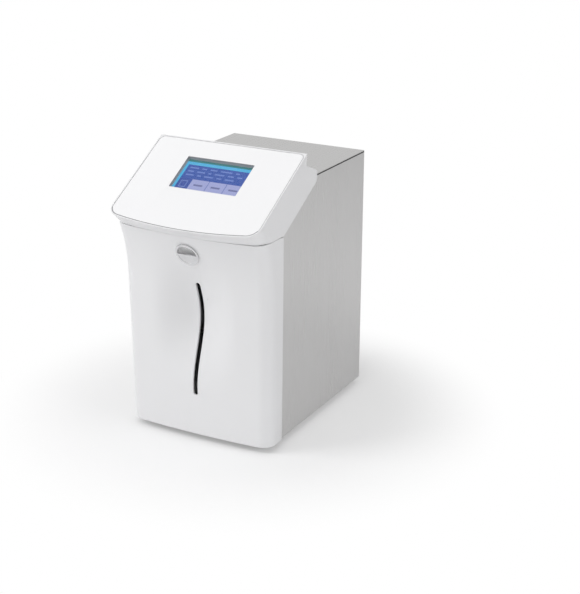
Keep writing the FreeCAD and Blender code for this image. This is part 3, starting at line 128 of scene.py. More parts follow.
class Finish(Graph):
    """A material with one main shader, whose patterns are laid out in object space."""

    def __init__(self, name, **constants):
        self.material = bpy.data.materials.new(name)
        self.material.use_nodes = True
        super().__init__(self.material.node_tree)
        self.shader = self.tree.nodes["Principled BSDF"]
        for socket, value in constants.items():
            self.shader.inputs[socket.replace("_", " ")].default_value = value
        self.place = self.node("ShaderNodeTexCoord", output="Object")

    def feed(self, socket, value):
        self.tree.links.new(value.socket, self.shader.inputs[socket])

    def stretched(self, scale, turn=(0.0, 0.0, 0.0)):
        """Object coordinates turned and then stretched, for grain that runs one way."""
        return self.node("ShaderNodeMapping", None, {"Vector": self.place, "Rotation": turn, "Scale": scale})

    def noise(self, scale, detail, place=None):
        return self.node(
            "ShaderNodeTexNoise", None, {"Vector": place or self.place, "Scale": scale, "Detail": detail}
        )

    def blend(self, amount, low, high):
        """A colour between two, by how large the amount is."""
        return self.node(
            "ShaderNodeMix",
            {"data_type": "RGBA"},
            {"Factor": amount, MIX_LOW: low, MIX_HIGH: high},
            output=MIX_RESULT,
        )

    def bump(self, height, depth, strength):
        inputs = {"Height": height, "Distance": depth, "Strength": strength}
        self.feed("Normal", self.node("ShaderNodeBump", None, inputs))


# Finishes


def shaded(colour, factor):
    """A colour made darker or lighter by a factor, and opaque."""
    return tuple(factor * part for part in colour[:3]) + (1.0,)


def tones(colour, spread):
    """A darker and a lighter shade of a colour."""
    return shaded(colour, 1.0 - spread), shaded(colour, 1.0 + spread)


def moulded_plastic(name, low, high, roughness, grain=0.03 * MM):
    """Moulded plastic with a faint cloud of shade and the fine texture of its tool."""
    made = Finish(name, Roughness=roughness, IOR=1.5)
    cloud = made.noise(scale=9.0, detail=3.0)
    wear = made.noise(scale=55.0, detail=4.0)
    texture = made.noise(scale=1800.0, detail=1.0)
    made.feed("Base Color", made.blend(cloud, low, high))
    made.feed("Roughness", roughness - 0.05 + 0.1 * wear)
    made.bump(texture, depth=grain, strength=0.35)
    return made.material


def brushed_metal(name, low, high, stretch, roughness=0.27):
    """Sheet metal brushed one way, with long cloudy streaks along the strokes."""
    made = Finish(name, Metallic=1.0, Roughness=roughness)
    fine = made.stretched(tuple(900.0 * part for part in stretch))
    broad = made.stretched(tuple(55.0 * part + 0.8 for part in stretch))
    strokes = made.noise(scale=1.0, detail=2.0, place=fine)
    streaks = made.noise(scale=1.0, detail=0.0, place=broad)
    made.feed("Base Color", made.blend(0.7 * strokes + 0.3 * streaks, low, high))
    made.feed("Roughness", roughness - 0.05 + 0.12 * strokes + 0.02 * streaks)
    made.bump(strokes, depth=0.02 * MM, strength=0.25)
    return made.material


def plain_metal(name, colour, roughness, spread=0.08):
    """Machined or plated metal with faint stains and handling marks."""
    made = Finish(name, Metallic=1.0, Roughness=roughness)
    stains = made.noise(scale=120.0, detail=4.0)
    marks = made.noise(scale=400.0, detail=3.0)
    made.feed("Base Color", made.blend(stains, shaded(colour, 0.86), colour))
    made.feed("Roughness", roughness + spread * marks)
    return made.material


def board_green(name):
    """Solder mask over a grid of copper tracks."""
    made = Finish(name, Roughness=0.35, Coat_Weight=0.3)
    tracks = made.node(
        "ShaderNodeTexBrick",
        {"offset": 0.5},
        {
            "Vector": made.stretched((1.0, 1.0, 1.0), turn=(math.pi / 2, 0.0, math.pi / 2)),
            "Scale": 90.0,
            "Mortar Size": 0.05,
            "Color1": (0.012, 0.095, 0.04, 1.0),
            "Color2": (0.014, 0.11, 0.045, 1.0),
            "Mortar": (0.03, 0.19, 0.085, 1.0),
        },
    )
    made.feed("Base Color", tracks)
    made.bump(made.noise(scale=700.0, detail=2.0), depth=0.04 * MM, strength=0.3)
    return made.material


def clear_plastic(name, colour, roughness, see_through, ior=1.45):
    """Clear or tinted plastic or glass that lets the light through."""
    made = Finish(name, Roughness=roughness, IOR=ior, Transmission_Weight=see_through)
    smear = made.noise(scale=60.0, detail=3.0)
    made.feed("Base Color", made.blend(smear, shaded(colour, 0.93), colour))
    made.feed("Roughness", roughness + 0.04 * smear)
    return made.material


def glowing(name, colour):
    """A lit area of the display, with the fine rows of its pixels."""
    made = Finish(name, Roughness=0.4, Specular_IOR_Level=0.08, Emission_Strength=1.0)
    rows = made.noise(scale=1.0, detail=0.0, place=made.stretched((40.0, 2600.0, 2600.0)))
    made.feed("Emission Color", made.blend(rows, shaded(colour, 0.94), colour))
    made.feed("Base Color", made.blend(rows, (0.01, 0.01, 0.015, 1.0), (0.02, 0.02, 0.03, 1.0)))
    return made.material


# Meshes

# Corners nearer than the first are one corner, and edges shorter than the second are dropped
JOINED = 0.004 * MM
SLIVER = 0.002 * MM
# Faces that turn by fewer degrees than this are one face
FLAT_ANGLE = 0.6
# A mesh that shows this share more area than the one it came from is folded over
FOLD_LIMIT = 0.004


def true_area(mesh):
    """The area of a mesh as it is drawn, with any fold counted in."""
    mesh.calc_loop_triangles()
    return sum(part.area for part in mesh.loop_triangles)


def folded(mesh, origin):
    """Whether a mesh has folded over since it was made from another."""
    return true_area(mesh) > (1.0 + FOLD_LIMIT) * true_area(origin)


def merged_copy(node):
    """A copy of a node's mesh with its loose triangles joined and its flat faces whole."""
    mesh = frame["nodes"][node].data.copy()
    mesh.name = node + "_dressed"
    shape = bmesh.new()
    shape.from_mesh(mesh)
    bmesh.ops.remove_doubles(shape, verts=shape.verts, dist=JOINED)
    bmesh.ops.dissolve_degenerate(shape, edges=shape.edges, dist=SLIVER)
    shape.to_mesh(mesh)
    bmesh.ops.dissolve_limit(
        shape, verts=shape.verts, edges=shape.edges, angle_limit=math.radians(FLAT_ANGLE)
    )
    whole = mesh.copy()
    shape.to_mesh(whole)
    shape.free()
    return mesh if folded(whole, mesh) else whole


def settle(obj):
    """Applies every modifier of an object, which leaves a plain mesh."""
    bpy.context.view_layer.update()
    seen = obj.evaluated_get(bpy.context.evaluated_depsgraph_get())
    made = bpy.data.meshes.new_from_object(seen)
    obj.modifiers.clear()
    obj.data = made


def mesh_of(shape, name, outward=True):
    """A mesh from a shape, which is freed."""
    if outward:
        bmesh.ops.recalc_face_normals(shape, faces=shape.faces)
    mesh = bpy.data.meshes.new(name)
    shape.to_mesh(mesh)
    shape.free()
    return mesh


def add_object(name, data):
    obj = bpy.data.objects.new(name, data)
    bpy.context.scene.collection.objects.link(obj)
    return obj


def paint(obj, *finishes):
    obj.data.materials.clear()
    for finish in finishes:
        obj.data.materials.append(finish)


def smooth(obj, angle=32.0):
    """Smooth shading over every edge that is flatter than the angle."""
    obj.data.shade_smooth()
    obj.data.set_sharp_from_angle(angle=math.radians(angle))


def soften(obj, width, angle=28.0, segments=2):
    """Small round edges, shaded smoothly into the flat faces beside them.

    A piece whose thin walls would fold over keeps its sharp edges.
    """
    smooth(obj)
    sharp = obj.data
    bevel = obj.modifiers.new("edges", "BEVEL")
    bevel.width = width
    bevel.segments = segments
    bevel.limit_method = "ANGLE"
    bevel.angle_limit = math.radians(angle)
    bevel.use_clamp_overlap = True
    bevel.harden_normals = True
    bevel.miter_outer = "MITER_ARC"
    settle(obj)
    if folded(obj.data, sharp):
        obj.data = sharp


def stand_for(obj, node):
    """The object moves with a node's body and stands for it."""
    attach(obj, frame["nodes"][node]["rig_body"])
    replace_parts(obj, node)
    return obj


def dress(node, finish, edge=0.0, name=None):
    """A finished piece in a node's place, with its own edges and material."""
    obj = add_object(name or node + "_finished", merged_copy(node))
    smooth(obj)
    if edge:
        soften(obj, edge)
    paint(obj, finish)
    return stand_for(obj, node)


# The moulded door

# The middle of the pull in depth and height, its lean in degrees, and its flange's thickness
PULL_CENTRE = (-16.8, 255.4)
PULL_TILT = 25.0
PULL_RIM = 1.5

# Steps of the door's skin across its front, round a corner, along a side and up its height
FRONT_STEPS, CORNER_STEPS, SIDE_STEPS, HEIGHT_STEPS = 30, 14, 9, 80
# Distances from an opening's rim to a ring of corners, and to the nearest of the skin's own corners
RING, CLEAR = 1.9, 3.2

# Ears at the hinge and bosses for the catch, each as a span across, in depth and in height
EAR_WIDTH, EAR_DEPTHS, EAR_HEIGHTS = 4.0, (2.4, 11.6), (9.5, 18.5)
BOSS_ACROSS, BOSS_DEPTHS, BOSS_HEIGHTS = (77.0, 85.0), (-13.0, 18.2), (259.0, 267.0)


def bell(distance, reach):
    """A soft hump that is one at its middle and nothing at its reach."""
    return math.cos(math.pi / 2 * min(1.0, abs(distance) / reach)) ** 2


class DoorShape:
    """The door's surface in millimetres: bowed, swept forward at its head, and dished."""

    # The foot's and the seam's heights, and how far the side returns reach back
    foot, seam, back = 8.0, 281.0, 33.9
    # Half the width at the head, and how much less it is at the foot
    half_width, narrowing = 106.0, 2.0
    # The corners' radius, the wall's thickness and the radius of its edges
    corner, wall, edge = 17.7, 2.5, 0.8
    # How the run across the skin is shared by half the front, a corner and a side
    front_run, corner_run, side_run = 90.0, 28.0, 34.0
    # The lean forward, complete at a share of the height, and the further sweep up to the head
    sweep, sweep_share = 4.8, 0.7
    brow, brow_height = 14.8, 72.0
    # The bow at the foot, what the head adds, and the fall that sets its angle at a corner
    bow, head_bow, bow_slope = 3.2, 4.6, 6.4
    # The dish's depth, the height of its middle, and its reach up and down and to each side
    dish, dish_middle, dish_height, dish_width = 24.0, 171.0, 100.0, 63.0
    # The hinge's place, and the height from which the sides' top is cut back to swing clear
    hinge_depth, hinge_height, relief_height = 8.0, 14.0, 250.0

    def __init__(self):
        self.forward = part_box("front_door")[1].y / MM - self.back

    def rise(self, z):
        return (z - self.foot) / (self.seam - self.foot)

    def half(self, z):
        """Half of the door's width at a height."""
        return self.half_width - self.narrowing * (1.0 - self.rise(z))

    def turn(self, z):
        """The angle at which the bowed front meets its corners."""
        return math.atan(self.bow_slope / self.half(z))

    def leading(self, z):
        """How far forward the corners stand at a height."""
        brow = max(0.0, (z - self.seam + self.brow_height) / self.brow_height)
        return -self.sweep * min(1.0, self.rise(z) / self.sweep_share) - self.brow * brow**2

    def face(self, x, z, half):
        """The front between the corners: a bow across, and a dish beside the slot."""
        bow = (self.bow + self.head_bow * self.rise(z)) * (1.0 - (x / half) ** 2)
        dish = self.dish * bell(z - self.dish_middle, self.dish_height) * bell(x, self.dish_width)
        return self.leading(z) - bow + dish

    def point(self, u, z, inset=0.0):
        """The surface at a run across the door and a height, or its inside at an inset."""
        half = self.half(z)
        radius = self.corner - inset
        centre_x = half - self.corner
        centre_y = self.leading(z) + self.corner
        turn = self.turn(z)
        end_x = centre_x + radius * math.sin(turn)
        end_y = centre_y - radius * math.cos(turn)
        run = abs(u)
        side = 1.0 if u > 0 else -1.0
        if run <= self.front_run:
            x = end_x * run / self.front_run
            y = self.face(x, z, end_x) + end_y - self.face(end_x, z, end_x)
        elif run <= self.front_run + self.corner_run:
            angle = turn + (math.pi / 2 - turn) * (run - self.front_run) / self.corner_run
            x = centre_x + radius * math.sin(angle)
            y = centre_y - radius * math.cos(angle)
        else:
            x = half - inset
            along = (run - self.front_run - self.corner_run) / self.side_run
            y = centre_y + (self.back - centre_y) * along
        return Vector((side * x, y + self.forward, self.relieved(z, y)))

    def relieved(self, z, y):
        """The side's top corner follows an arc struck from the hinge, so that it swings clear."""
        reach = self.seam - self.hinge_height
        behind = max(0.0, y - self.hinge_depth)
        limit = self.hinge_height + math.sqrt(reach**2 - behind**2)
        share = max(0.0, (z - self.relief_height) / (self.seam - self.relief_height))
        return z - share * (self.seam - limit)

    def run_at(self, x, z):
        """The run across the door at which its front has this x."""
        end_x = self.half(z) - self.corner + self.corner * math.sin(self.turn(z))
        return x * self.front_run / end_x


def slot_outline(door, half=3.2, low=64.0, high=212.0, around=9, up=40):
    """The slot's rim, as runs across the door and heights, anticlockwise."""
    ends = []
    for centre, start in ((high - half, 0.0), (low + half, math.pi)):
        angles = [start + math.pi * n / around for n in range(around + 1)]
        ends.append([(half * math.cos(angle), centre + half * math.sin(angle)) for angle in angles])
    heights = [low + half + (high - low - 2 * half) * n / up for n in range(1, up)]
    left = [(-half, z) for z in reversed(heights)]
    right = [(half, z) for z in heights]
    return [Vector((door.run_at(x, z), z)) for x, z in ends[0] + left + ends[1] + right]


def oval_outline(door, half_width=14.8, half_height=15.1, around=72, tries=12):
    """The rim of the pull's opening: an oval square to the sloping face, thrown onto the door."""
    lean = math.radians(PULL_TILT)
    rim = []
    for n in range(around):
        angle = 2 * math.pi * n / around
        x, rise = half_width * math.cos(angle), half_height * math.sin(angle)
        depth = 0.0
        for _ in range(tries):
            z = PULL_CENTRE[1] + rise * math.cos(lean) + depth * math.sin(lean)
            y = PULL_CENTRE[0] - rise * math.sin(lean) + depth * math.cos(lean)
            depth += (door.point(door.run_at(x, z), z).y - door.forward - y) * math.cos(lean)
        rim.append(Vector((door.run_at(x, z), z)))
    return rim


def grown(rim, by):
    """An anticlockwise rim moved outwards by a distance."""
    made = []
    for n, spot in enumerate(rim):
        along = rim[(n + 1) % len(rim)] - rim[n - 1]
        made.append(spot + Vector((along.y, -along.x)).normalized() * by)
    return made


def inside(spot, rim):
    """Whether a place lies within a rim."""
    crossings = 0
    for n, a in enumerate(rim):
        b = rim[n - 1]
        if (a.y > spot.y) != (b.y > spot.y):
            crossings += spot.x < a.x + (b.x - a.x) * (spot.y - a.y) / (b.y - a.y)
    return crossings % 2 == 1


def skin_grid(door):
    """The runs across the door and the heights at which its skin has corners."""
    corner_end = door.front_run + door.corner_run
    columns = [door.front_run * n / FRONT_STEPS for n in range(1, FRONT_STEPS + 1)]
    columns += [door.front_run + door.corner_run * n / CORNER_STEPS for n in range(1, CORNER_STEPS + 1)]
    columns += [corner_end + door.side_run * n / SIDE_STEPS for n in range(1, SIDE_STEPS - 1)]
    columns.append(corner_end + door.side_run - door.edge)
    low, high = door.foot + door.edge, door.seam - door.edge
    rows = [low + (high - low) * n / HEIGHT_STEPS for n in range(HEIGHT_STEPS + 1)]
    return [-u for u in reversed(columns)] + [0.0] + columns, rows


def skin_layout(door, openings):
    """Triangles over the door's run and height, with whole rows along every rim."""
    columns, rows = skin_grid(door)
    border = [Vector((u, rows[0])) for u in columns]
    border += [Vector((columns[-1], z)) for z in rows[1:]]
    border += [Vector((u, rows[-1])) for u in reversed(columns[:-1])]
    border += [Vector((columns[0], z)) for z in reversed(rows[1:-1])]
    rims = [border] + [list(reversed(grown(rim, door.edge))) for rim in openings]
    spots, edges = [], []
    for rim in rims:
        start = len(spots)
        spots += rim
        edges += [(start + n, start + (n + 1) % len(rim)) for n in range(len(rim))]
    guards = [grown(rim, CLEAR) for rim in openings]
    for rim in openings:
        spots += grown(rim, RING)
    spots += [
        Vector((u, z))
        for u in columns[1:-1]
        for z in rows[1:-1]
        if not any(inside(Vector((u, z)), guard) for guard in guards)
    ]
    outline, nearness = 0, 1e-6
    spots, _, faces, *_ = geometry.delaunay_2d_cdt(spots, edges, [], outline, nearness, False)
    kept = []
    for face in faces:
        middle = sum((spots[n] for n in face), Vector((0.0, 0.0))) / len(face)
        if not any(inside(middle, rim) for rim in rims[1:]):
            kept.append(face)
    return spots, kept, rims


def inward(door, spot, step=0.4):
    """The direction into the wall at a place on the skin."""
    across = door.point(spot.x + step, spot.y) - door.point(spot.x - step, spot.y)
    upward = door.point(spot.x, spot.y + step) - door.point(spot.x, spot.y - step)
    return -across.cross(upward).normalized()


def square_corners(rim, by):
    """Outward steps along the layout's straight sides, which add up at its four corners."""
    low = Vector((min(s.x for s in rim), min(s.y for s in rim)))
    high = Vector((max(s.x for s in rim), max(s.y for s in rim)))
    return [
        by * Vector(((s.x == high.x) - (s.x == low.x), (s.y == high.y) - (s.y == low.y)))
        for s in rim
    ]


def skin_mesh(door, openings, turns=4):
    """The moulded wall: an outer and an inner skin, joined round every rim by a small round edge."""
    spots, faces, rims = skin_layout(door, openings)
    shape = bmesh.new()
    outer = [shape.verts.new(door.point(*spot) * MM) for spot in spots]
    inner = [shape.verts.new(door.point(*spot, door.wall) * MM) for spot in spots]
    for face in faces:
        shape.faces.new([outer[n] for n in face])
        shape.faces.new([inner[n] for n in reversed(face)])
    start = 0
    for rim in rims:
        count = len(rim)
        rows = [outer[start : start + count]]
        if rim is rims[0]:
            outward = square_corners(rim, door.edge)
        else:
            outward = [edge - spot for edge, spot in zip(grown(rim, door.edge), rim)]
        for turn in range(1, turns + 1):
            angle = math.pi / 2 * turn / turns
            reach, depth = math.sin(angle), door.edge * (1.0 - math.cos(angle))
            row = []
            for rim_spot, away in zip(rim, outward):
                place = rim_spot + away * reach
                spot = door.point(*place) + inward(door, place) * depth
                spot.z = min(max(spot.z, door.foot), door.seam)
                row.append(shape.verts.new(spot * MM))
            rows.append(row)
        rows.append([shape.verts.new(door.point(*(s + a), door.wall) * MM) for s, a in zip(rim, outward)])
        rows.append(inner[start : start + count])
        for near, far in zip(rows, rows[1:]):
            for n in range(count):
                m = (n + 1) % count
                shape.faces.new((near[n], far[n], far[m], near[m]))
        start += count
    return mesh_of(shape, "door_skin")


def line_pull(pull, door):
    """A satin finish in the pull's cup, behind the polished flange that stands round it, made near white as
    painted light against the shade inside the cup.
    """
    paint(pull, FINISHES["chrome"], FINISHES["satin_cup"])
    lean = math.radians(PULL_TILT)
    into_cup = Vector((0.0, math.cos(lean), math.sin(lean)))
    middle = Vector((0.0, door.forward + PULL_CENTRE[0], PULL_CENTRE[1])) * MM
    for face in pull.data.polygons:
        face.material_index = int((face.center - middle).dot(into_cup) > PULL_RIM * MM)


# Display

DISPLAY_MARGIN = 4.3 * MM
MODULE_EDGE = 0.2 * MM
# Steps between the display's layers and their thickness, as shares of the gap under the glass
LAYER_STEP, LAYER_THICKNESS = 0.1, 0.08
# The lit picture's spacing, in shares of its width or height
BUTTON_START, BUTTON_STEP, BUTTON_WIDTH, BUTTON_TOP = 0.232, 0.257, 0.25, 0.41
WORD_START, WORD_GAP, LETTER_WIDTH = 0.09, 0.05, 0.0145
ROW_START, ROW_STEP, ROW_HEIGHT = 0.735, 0.112, 0.04
# Rows of bars in place of words, by the number of their letters
WORD_ROWS = ((9, 5, 7, 12, 4), (6, 8, 3, 10, 6, 5), (8, 4, 9, 5, 9))

BLOCK_FACES = ((0, 1, 3, 2), (4, 6, 7, 5), (0, 4, 5, 1), (2, 3, 7, 6), (0, 2, 6, 4), (1, 5, 7, 3))


def plate_axes(tilt):
    """The directions across, up along and out of the sloping plate."""
    up, back = math.sin(tilt), math.cos(tilt)
    return Vector((1, 0, 0)), Vector((0, back, up)), Vector((0, -up, back))


def span_along(node, direction):
    """How far a node reaches along a direction."""
    reach = [direction.dot(v.co) for v in frame["nodes"][node].data.vertices]
    return min(reach), max(reach)


def part_way(span, share):
    """The place at a share of a span."""
    return span[0] + (span[1] - span[0]) * share


def add_block(shape, axes, spans):
    """A block given by its spans along three directions."""
    corners = [
        shape.verts.new(axes[0] * a + axes[1] * b + axes[2] * c)
        for a in spans[0]
        for b in spans[1]
        for c in spans[2]
    ]
    for ring in BLOCK_FACES:
        shape.faces.new([corners[n] for n in ring])


def screen_marks():
    """The display's lit areas as (finish, layer, left, right, low, high), in shares of its picture."""
    marks = [
        ("display_field", 1, 0.0, 1.0, 0.0, 1.0),
        ("display_status", 2, 0.0, 1.0, 0.93, 1.0),
        ("display_border", 2, 0.0, 1.0, 0.84, 0.93),
        ("display_border", 2, 0.0, 0.045, 0.0, 0.84),
        ("display_choice", 2, 0.045, 0.225, 0.0, BUTTON_TOP),
        ("display_edge", 3, 0.085, 0.185, 0.14, 0.35),
        ("display_choice", 4, 0.097, 0.173, 0.165, 0.325),
    ]
    for button in range(3):
        left = BUTTON_START + BUTTON_STEP * button
        marks.append(("display_button", 3, left, left + BUTTON_WIDTH, 0.0, BUTTON_TOP))
        marks.append(("display_mark", 4, left + 0.058, left + 0.188, 0.22, 0.27))
    for row, words in enumerate(WORD_ROWS):
        low = ROW_START - ROW_STEP * row
        left = WORD_START
        for letters in words:
            right = left + letters * LETTER_WIDTH
            marks.append(("display_data", 4, left, right, low, low + ROW_HEIGHT))
            left = right + WORD_GAP
    return marks


def make_glass(axes, base):
    """The touch glass, from a level above the display up to its own top."""
    across, along, out = axes
    top = span_along("touch_panel", out)[1]
    shape = bmesh.new()
    add_block(shape, axes, (span_along("touch_panel", across), span_along("touch_panel", along), (base, top)))
    glass = add_object("touch_glass", mesh_of(shape, "touch_glass"))
    paint(glass, FINISHES["clear_glass"])
    smooth(glass)
    stand_for(glass, "touch_panel")


def make_display(tilt, gap):
    """The display and its glass, with each lit area on a layer of its own between them."""
    axes = plate_axes(tilt)
    across, along, out = axes
    floor = span_along("lcd_module", out)[1]
    make_glass(axes, floor + gap)
    module = dress("lcd_module", FINISHES["grey_sheet"], MODULE_EDGE, "display_module")
    picture = [
        (low + DISPLAY_MARGIN, high - DISPLAY_MARGIN)
        for low, high in (span_along("lcd_module", across), span_along("lcd_module", along))
    ]
    areas = {}
    for finish, *area in screen_marks():
        areas.setdefault(finish, []).append(area)
    for finish, marks in areas.items():
        shape = bmesh.new()
        for layer, left, right, low, high in marks:
            level = floor + gap * LAYER_STEP * layer
            spans = (
                [part_way(picture[0], share) for share in (left, right)],
                [part_way(picture[1], share) for share in (low, high)],
                (level, level + gap * LAYER_THICKNESS),
            )
            add_block(shape, axes, spans)
        piece = add_object(finish.replace("display", "screen"), mesh_of(shape, finish))
        paint(piece, FINISHES[finish])
        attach(piece, module["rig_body"])


def shade_rim(plate, level=0.75):
    """Painted shade: a grey finish on the plate's steep rim faces, where its edges turn down into the head,
    stands in for the shadow in the groove.
    """
    paint(plate, FINISHES["white_plate"], FINISHES["shadow_gap"])
    for face in plate.data.polygons:
        face.material_index = int(face.normal.z < level)


# Screws made by geometry nodes

RECESS_WIDTH = 0.7 * MM
# The recess's length as a share of the head's radius, and its middle as a share of the head's height
RECESS_REACH, RECESS_LIFT = 1.15, 1.05


def islands(node):
    """The lowest and highest corner of each separate solid of a node."""
    shape = bmesh.new()
    shape.from_mesh(frame["nodes"][node].data)
    bmesh.ops.remove_doubles(shape, verts=shape.verts, dist=JOINED)
    left = set(shape.verts)
    found = []
    while left:
        heap = [left.pop()]
        group = []
        while heap:
            vert = heap.pop()
            group.append(vert.co.copy())
            for edge in vert.link_edges:
                other = edge.other_vert(vert)
                if other in left:
                    left.remove(other)
                    heap.append(other)
        low = Vector([min(c[n] for c in group) for n in range(3)])
        high = Vector([max(c[n] for c in group) for n in range(3)])
        found.append((low, high))
    shape.free()
    return found


def screw_tree(finish):
    """Round screw heads with a cross recess, one on each point, along the points' facing."""
    tree = bpy.data.node_groups.new("screw_heads", "GeometryNodeTree")
    sides = tree.interface
    sides.new_socket("Geometry", in_out="INPUT", socket_type="NodeSocketGeometry")
    for name in ("Head Radius", "Head Height", "Recess Width"):
        socket = sides.new_socket(name, in_out="INPUT", socket_type="NodeSocketFloat")
        socket.subtype = "DISTANCE"
    sides.new_socket("Geometry", in_out="OUTPUT", socket_type="NodeSocketGeometry")
    graph = Graph(tree)
    given = tree.nodes.new("NodeGroupInput")
    points, radius, height, width = (Value(graph, socket) for socket in given.outputs[:4])

    def vector(x, y, z):
        return graph.node("ShaderNodeCombineXYZ", None, {0: x, 1: y, 2: z})

    def cube(x, y, z):
        return graph.node("GeometryNodeMeshCube", None, {"Size": vector(x, y, z)})

    def moved(mesh, shift, scale=(1.0, 1.0, 1.0)):
        inputs = {"Geometry": mesh, "Translation": shift, "Scale": scale}
        return graph.node("GeometryNodeTransform", None, inputs)

    ball = graph.node("GeometryNodeMeshUVSphere", None, {"Segments": 28, "Rings": 14, "Radius": 1.0})
    dome = moved(ball, (0.0, 0.0, 0.0), vector(radius, radius, height))
    below = moved(cube(3 * radius, 3 * radius, 2 * height), vector(0.0, 0.0, -1 * height))
    lift = vector(0.0, 0.0, RECESS_LIFT * height)
    long_bar = moved(cube(RECESS_REACH * radius, width, height), lift)
    cross_bar = moved(cube(width, RECESS_REACH * radius, height), lift)
    cutter = tree.nodes.new("GeometryNodeMeshBoolean")
    cutter.operation = "DIFFERENCE"
    tree.links.new(dome.socket, cutter.inputs["Mesh 1"])
    for tool in (below, long_bar, cross_bar):
        tree.links.new(tool.socket, cutter.inputs["Mesh 2"])
    head = Value(graph, cutter.outputs["Mesh"])
    facing = graph.node("GeometryNodeInputNamedAttribute", {"data_type": "FLOAT_VECTOR"}, {"Name": "facing"})
    turn = graph.node("FunctionNodeAlignRotationToVector", {"axis": "Z"}, {"Vector": facing})
    placing = {"Points": points, "Instance": head, "Rotation": turn}
    spread = graph.node("GeometryNodeInstanceOnPoints", None, placing)
    plain = graph.node("GeometryNodeRealizeInstances", None, {"Geometry": spread})
    painted = graph.node("GeometryNodeSetMaterial", None, {"Geometry": plain, "Material": finish})
    done = tree.nodes.new("NodeGroupOutput")
    tree.links.new(painted.socket, done.inputs[0])
    return tree


def make_screws(node, facing, radius, height):
    """Heads for the screws of one node, each on the outer face of its solid."""
    name = node.removesuffix("s") + "_heads"
    way = Vector(facing)
    spots = []
    for low, high in islands(node):
        middle = (low + high) / 2
        outer = high if sum(way) > 0 else low
        spots.append(Vector([outer[n] if way[n] else middle[n] for n in range(3)]) - way * height)
    mesh = bpy.data.meshes.new(name)
    mesh.from_pydata(spots, [], [])
    ways = mesh.attributes.new("facing", "FLOAT_VECTOR", "POINT")
    ways.data.foreach_set("vector", list(way) * len(spots))
    obj = add_object(name, mesh)
    tree = screw_tree(FINISHES["plated_steel"])
    heads = obj.modifiers.new("heads", "NODES")
    heads.node_group = tree
    sizes = {"Head Radius": radius, "Head Height": height, "Recess Width": RECESS_WIDTH}
    for item in tree.interface.items_tree:
        if item.name in sizes:
            heads[item.identifier] = sizes[item.name]
    settle(obj)
    smooth(obj, angle=40.0)
    stand_for(obj, node)


# Settings in the sidebar


class AnalyzerSizes(bpy.types.PropertyGroup):
    """Sizes of the finish, which leave the parts where they are."""

    edge: bpy.props.FloatProperty(
        name="Edge Rounding",
        description="Width of the small round edges on sheet metal and moulded parts",
        default=0.35 * MM,
        min=0.0,
        subtype="DISTANCE",
        unit="LENGTH",
    )
    plate_tilt: bpy.props.FloatProperty(
        name="Plate Tilt",
        description="Angle between the display plate and the bench",
        default=math.radians(29.8),
        subtype="ANGLE",
        unit="ROTATION",
    )
    display_gap: bpy.props.FloatProperty(
        name="Display Gap",
        description="Room between the display and its touch glass",
        default=0.3 * MM,
        min=0.1 * MM,
        subtype="DISTANCE",
        unit="LENGTH",
    )


class AnalyzerColours(bpy.types.PropertyGroup):
    """Colours that a user may want to change."""

    shell: bpy.props.FloatVectorProperty(
        name="Shell",
        description="Colour of the moulded head and door",
        default=(0.80, 0.80, 0.81, 1.0),
        size=4,
        min=0.0,
        max=1.0,
        subtype="COLOR",
    )
    plate: bpy.props.FloatVectorProperty(
        name="Plate",
        description="Colour of the glossy display plate",
        default=(0.90, 0.90, 0.91, 1.0),
        size=4,
        min=0.0,
        max=1.0,
        subtype="COLOR",
    )
    steel: bpy.props.FloatVectorProperty(
        name="Case",
        description="Colour of the brushed steel",
        default=(0.68, 0.675, 0.67, 1.0),
        size=4,
        min=0.0,
        max=1.0,
        subtype="COLOR",
    )
    display: bpy.props.FloatVectorProperty(
        name="Display",
        description="Colour of the lit display",
        default=(0.048, 0.105, 0.40, 1.0),
        size=4,
        min=0.0,
        max=1.0,
        subtype="COLOR",
    )


# Steps that dress the object

WORLD_AXES = (Vector((1, 0, 0)), Vector((0, 1, 0)), Vector((0, 0, 1)))
# Painted shade: how much darker the lid's steel is than the sides', for how the light falls on the top
LID_PAINTED_SHADE = 0.86
STEEL_SPREAD = 0.045
# Pieces of the housing, each with its share of the edge rounding
HOUSING_EDGES = (
    ("head_shell", 1.0),
    ("fascia_plate", 2.2),
    ("door_pull", 1.0),
    ("case_body", 0.6),
    ("rear_panel", 0.0),
    ("cover_seals", 0.6),
    ("rubber_feet", 2.0),
)
BEZEL_EDGE, LID_EDGE, WORKING_EDGE = 0.5, 0.9, 0.7
# Screws, each with its facing, its head's radius and its head's height
SCREWS = (
    ("bay_screws", (0.0, -1.0, 0.0), 3.0 * MM, 1.5 * MM),
    ("rear_screws", (0.0, 1.0, 0.0), 2.8 * MM, 1.6 * MM),
    ("foot_screws", (0.0, 0.0, -1.0), 3.2 * MM, 1.5 * MM),
)


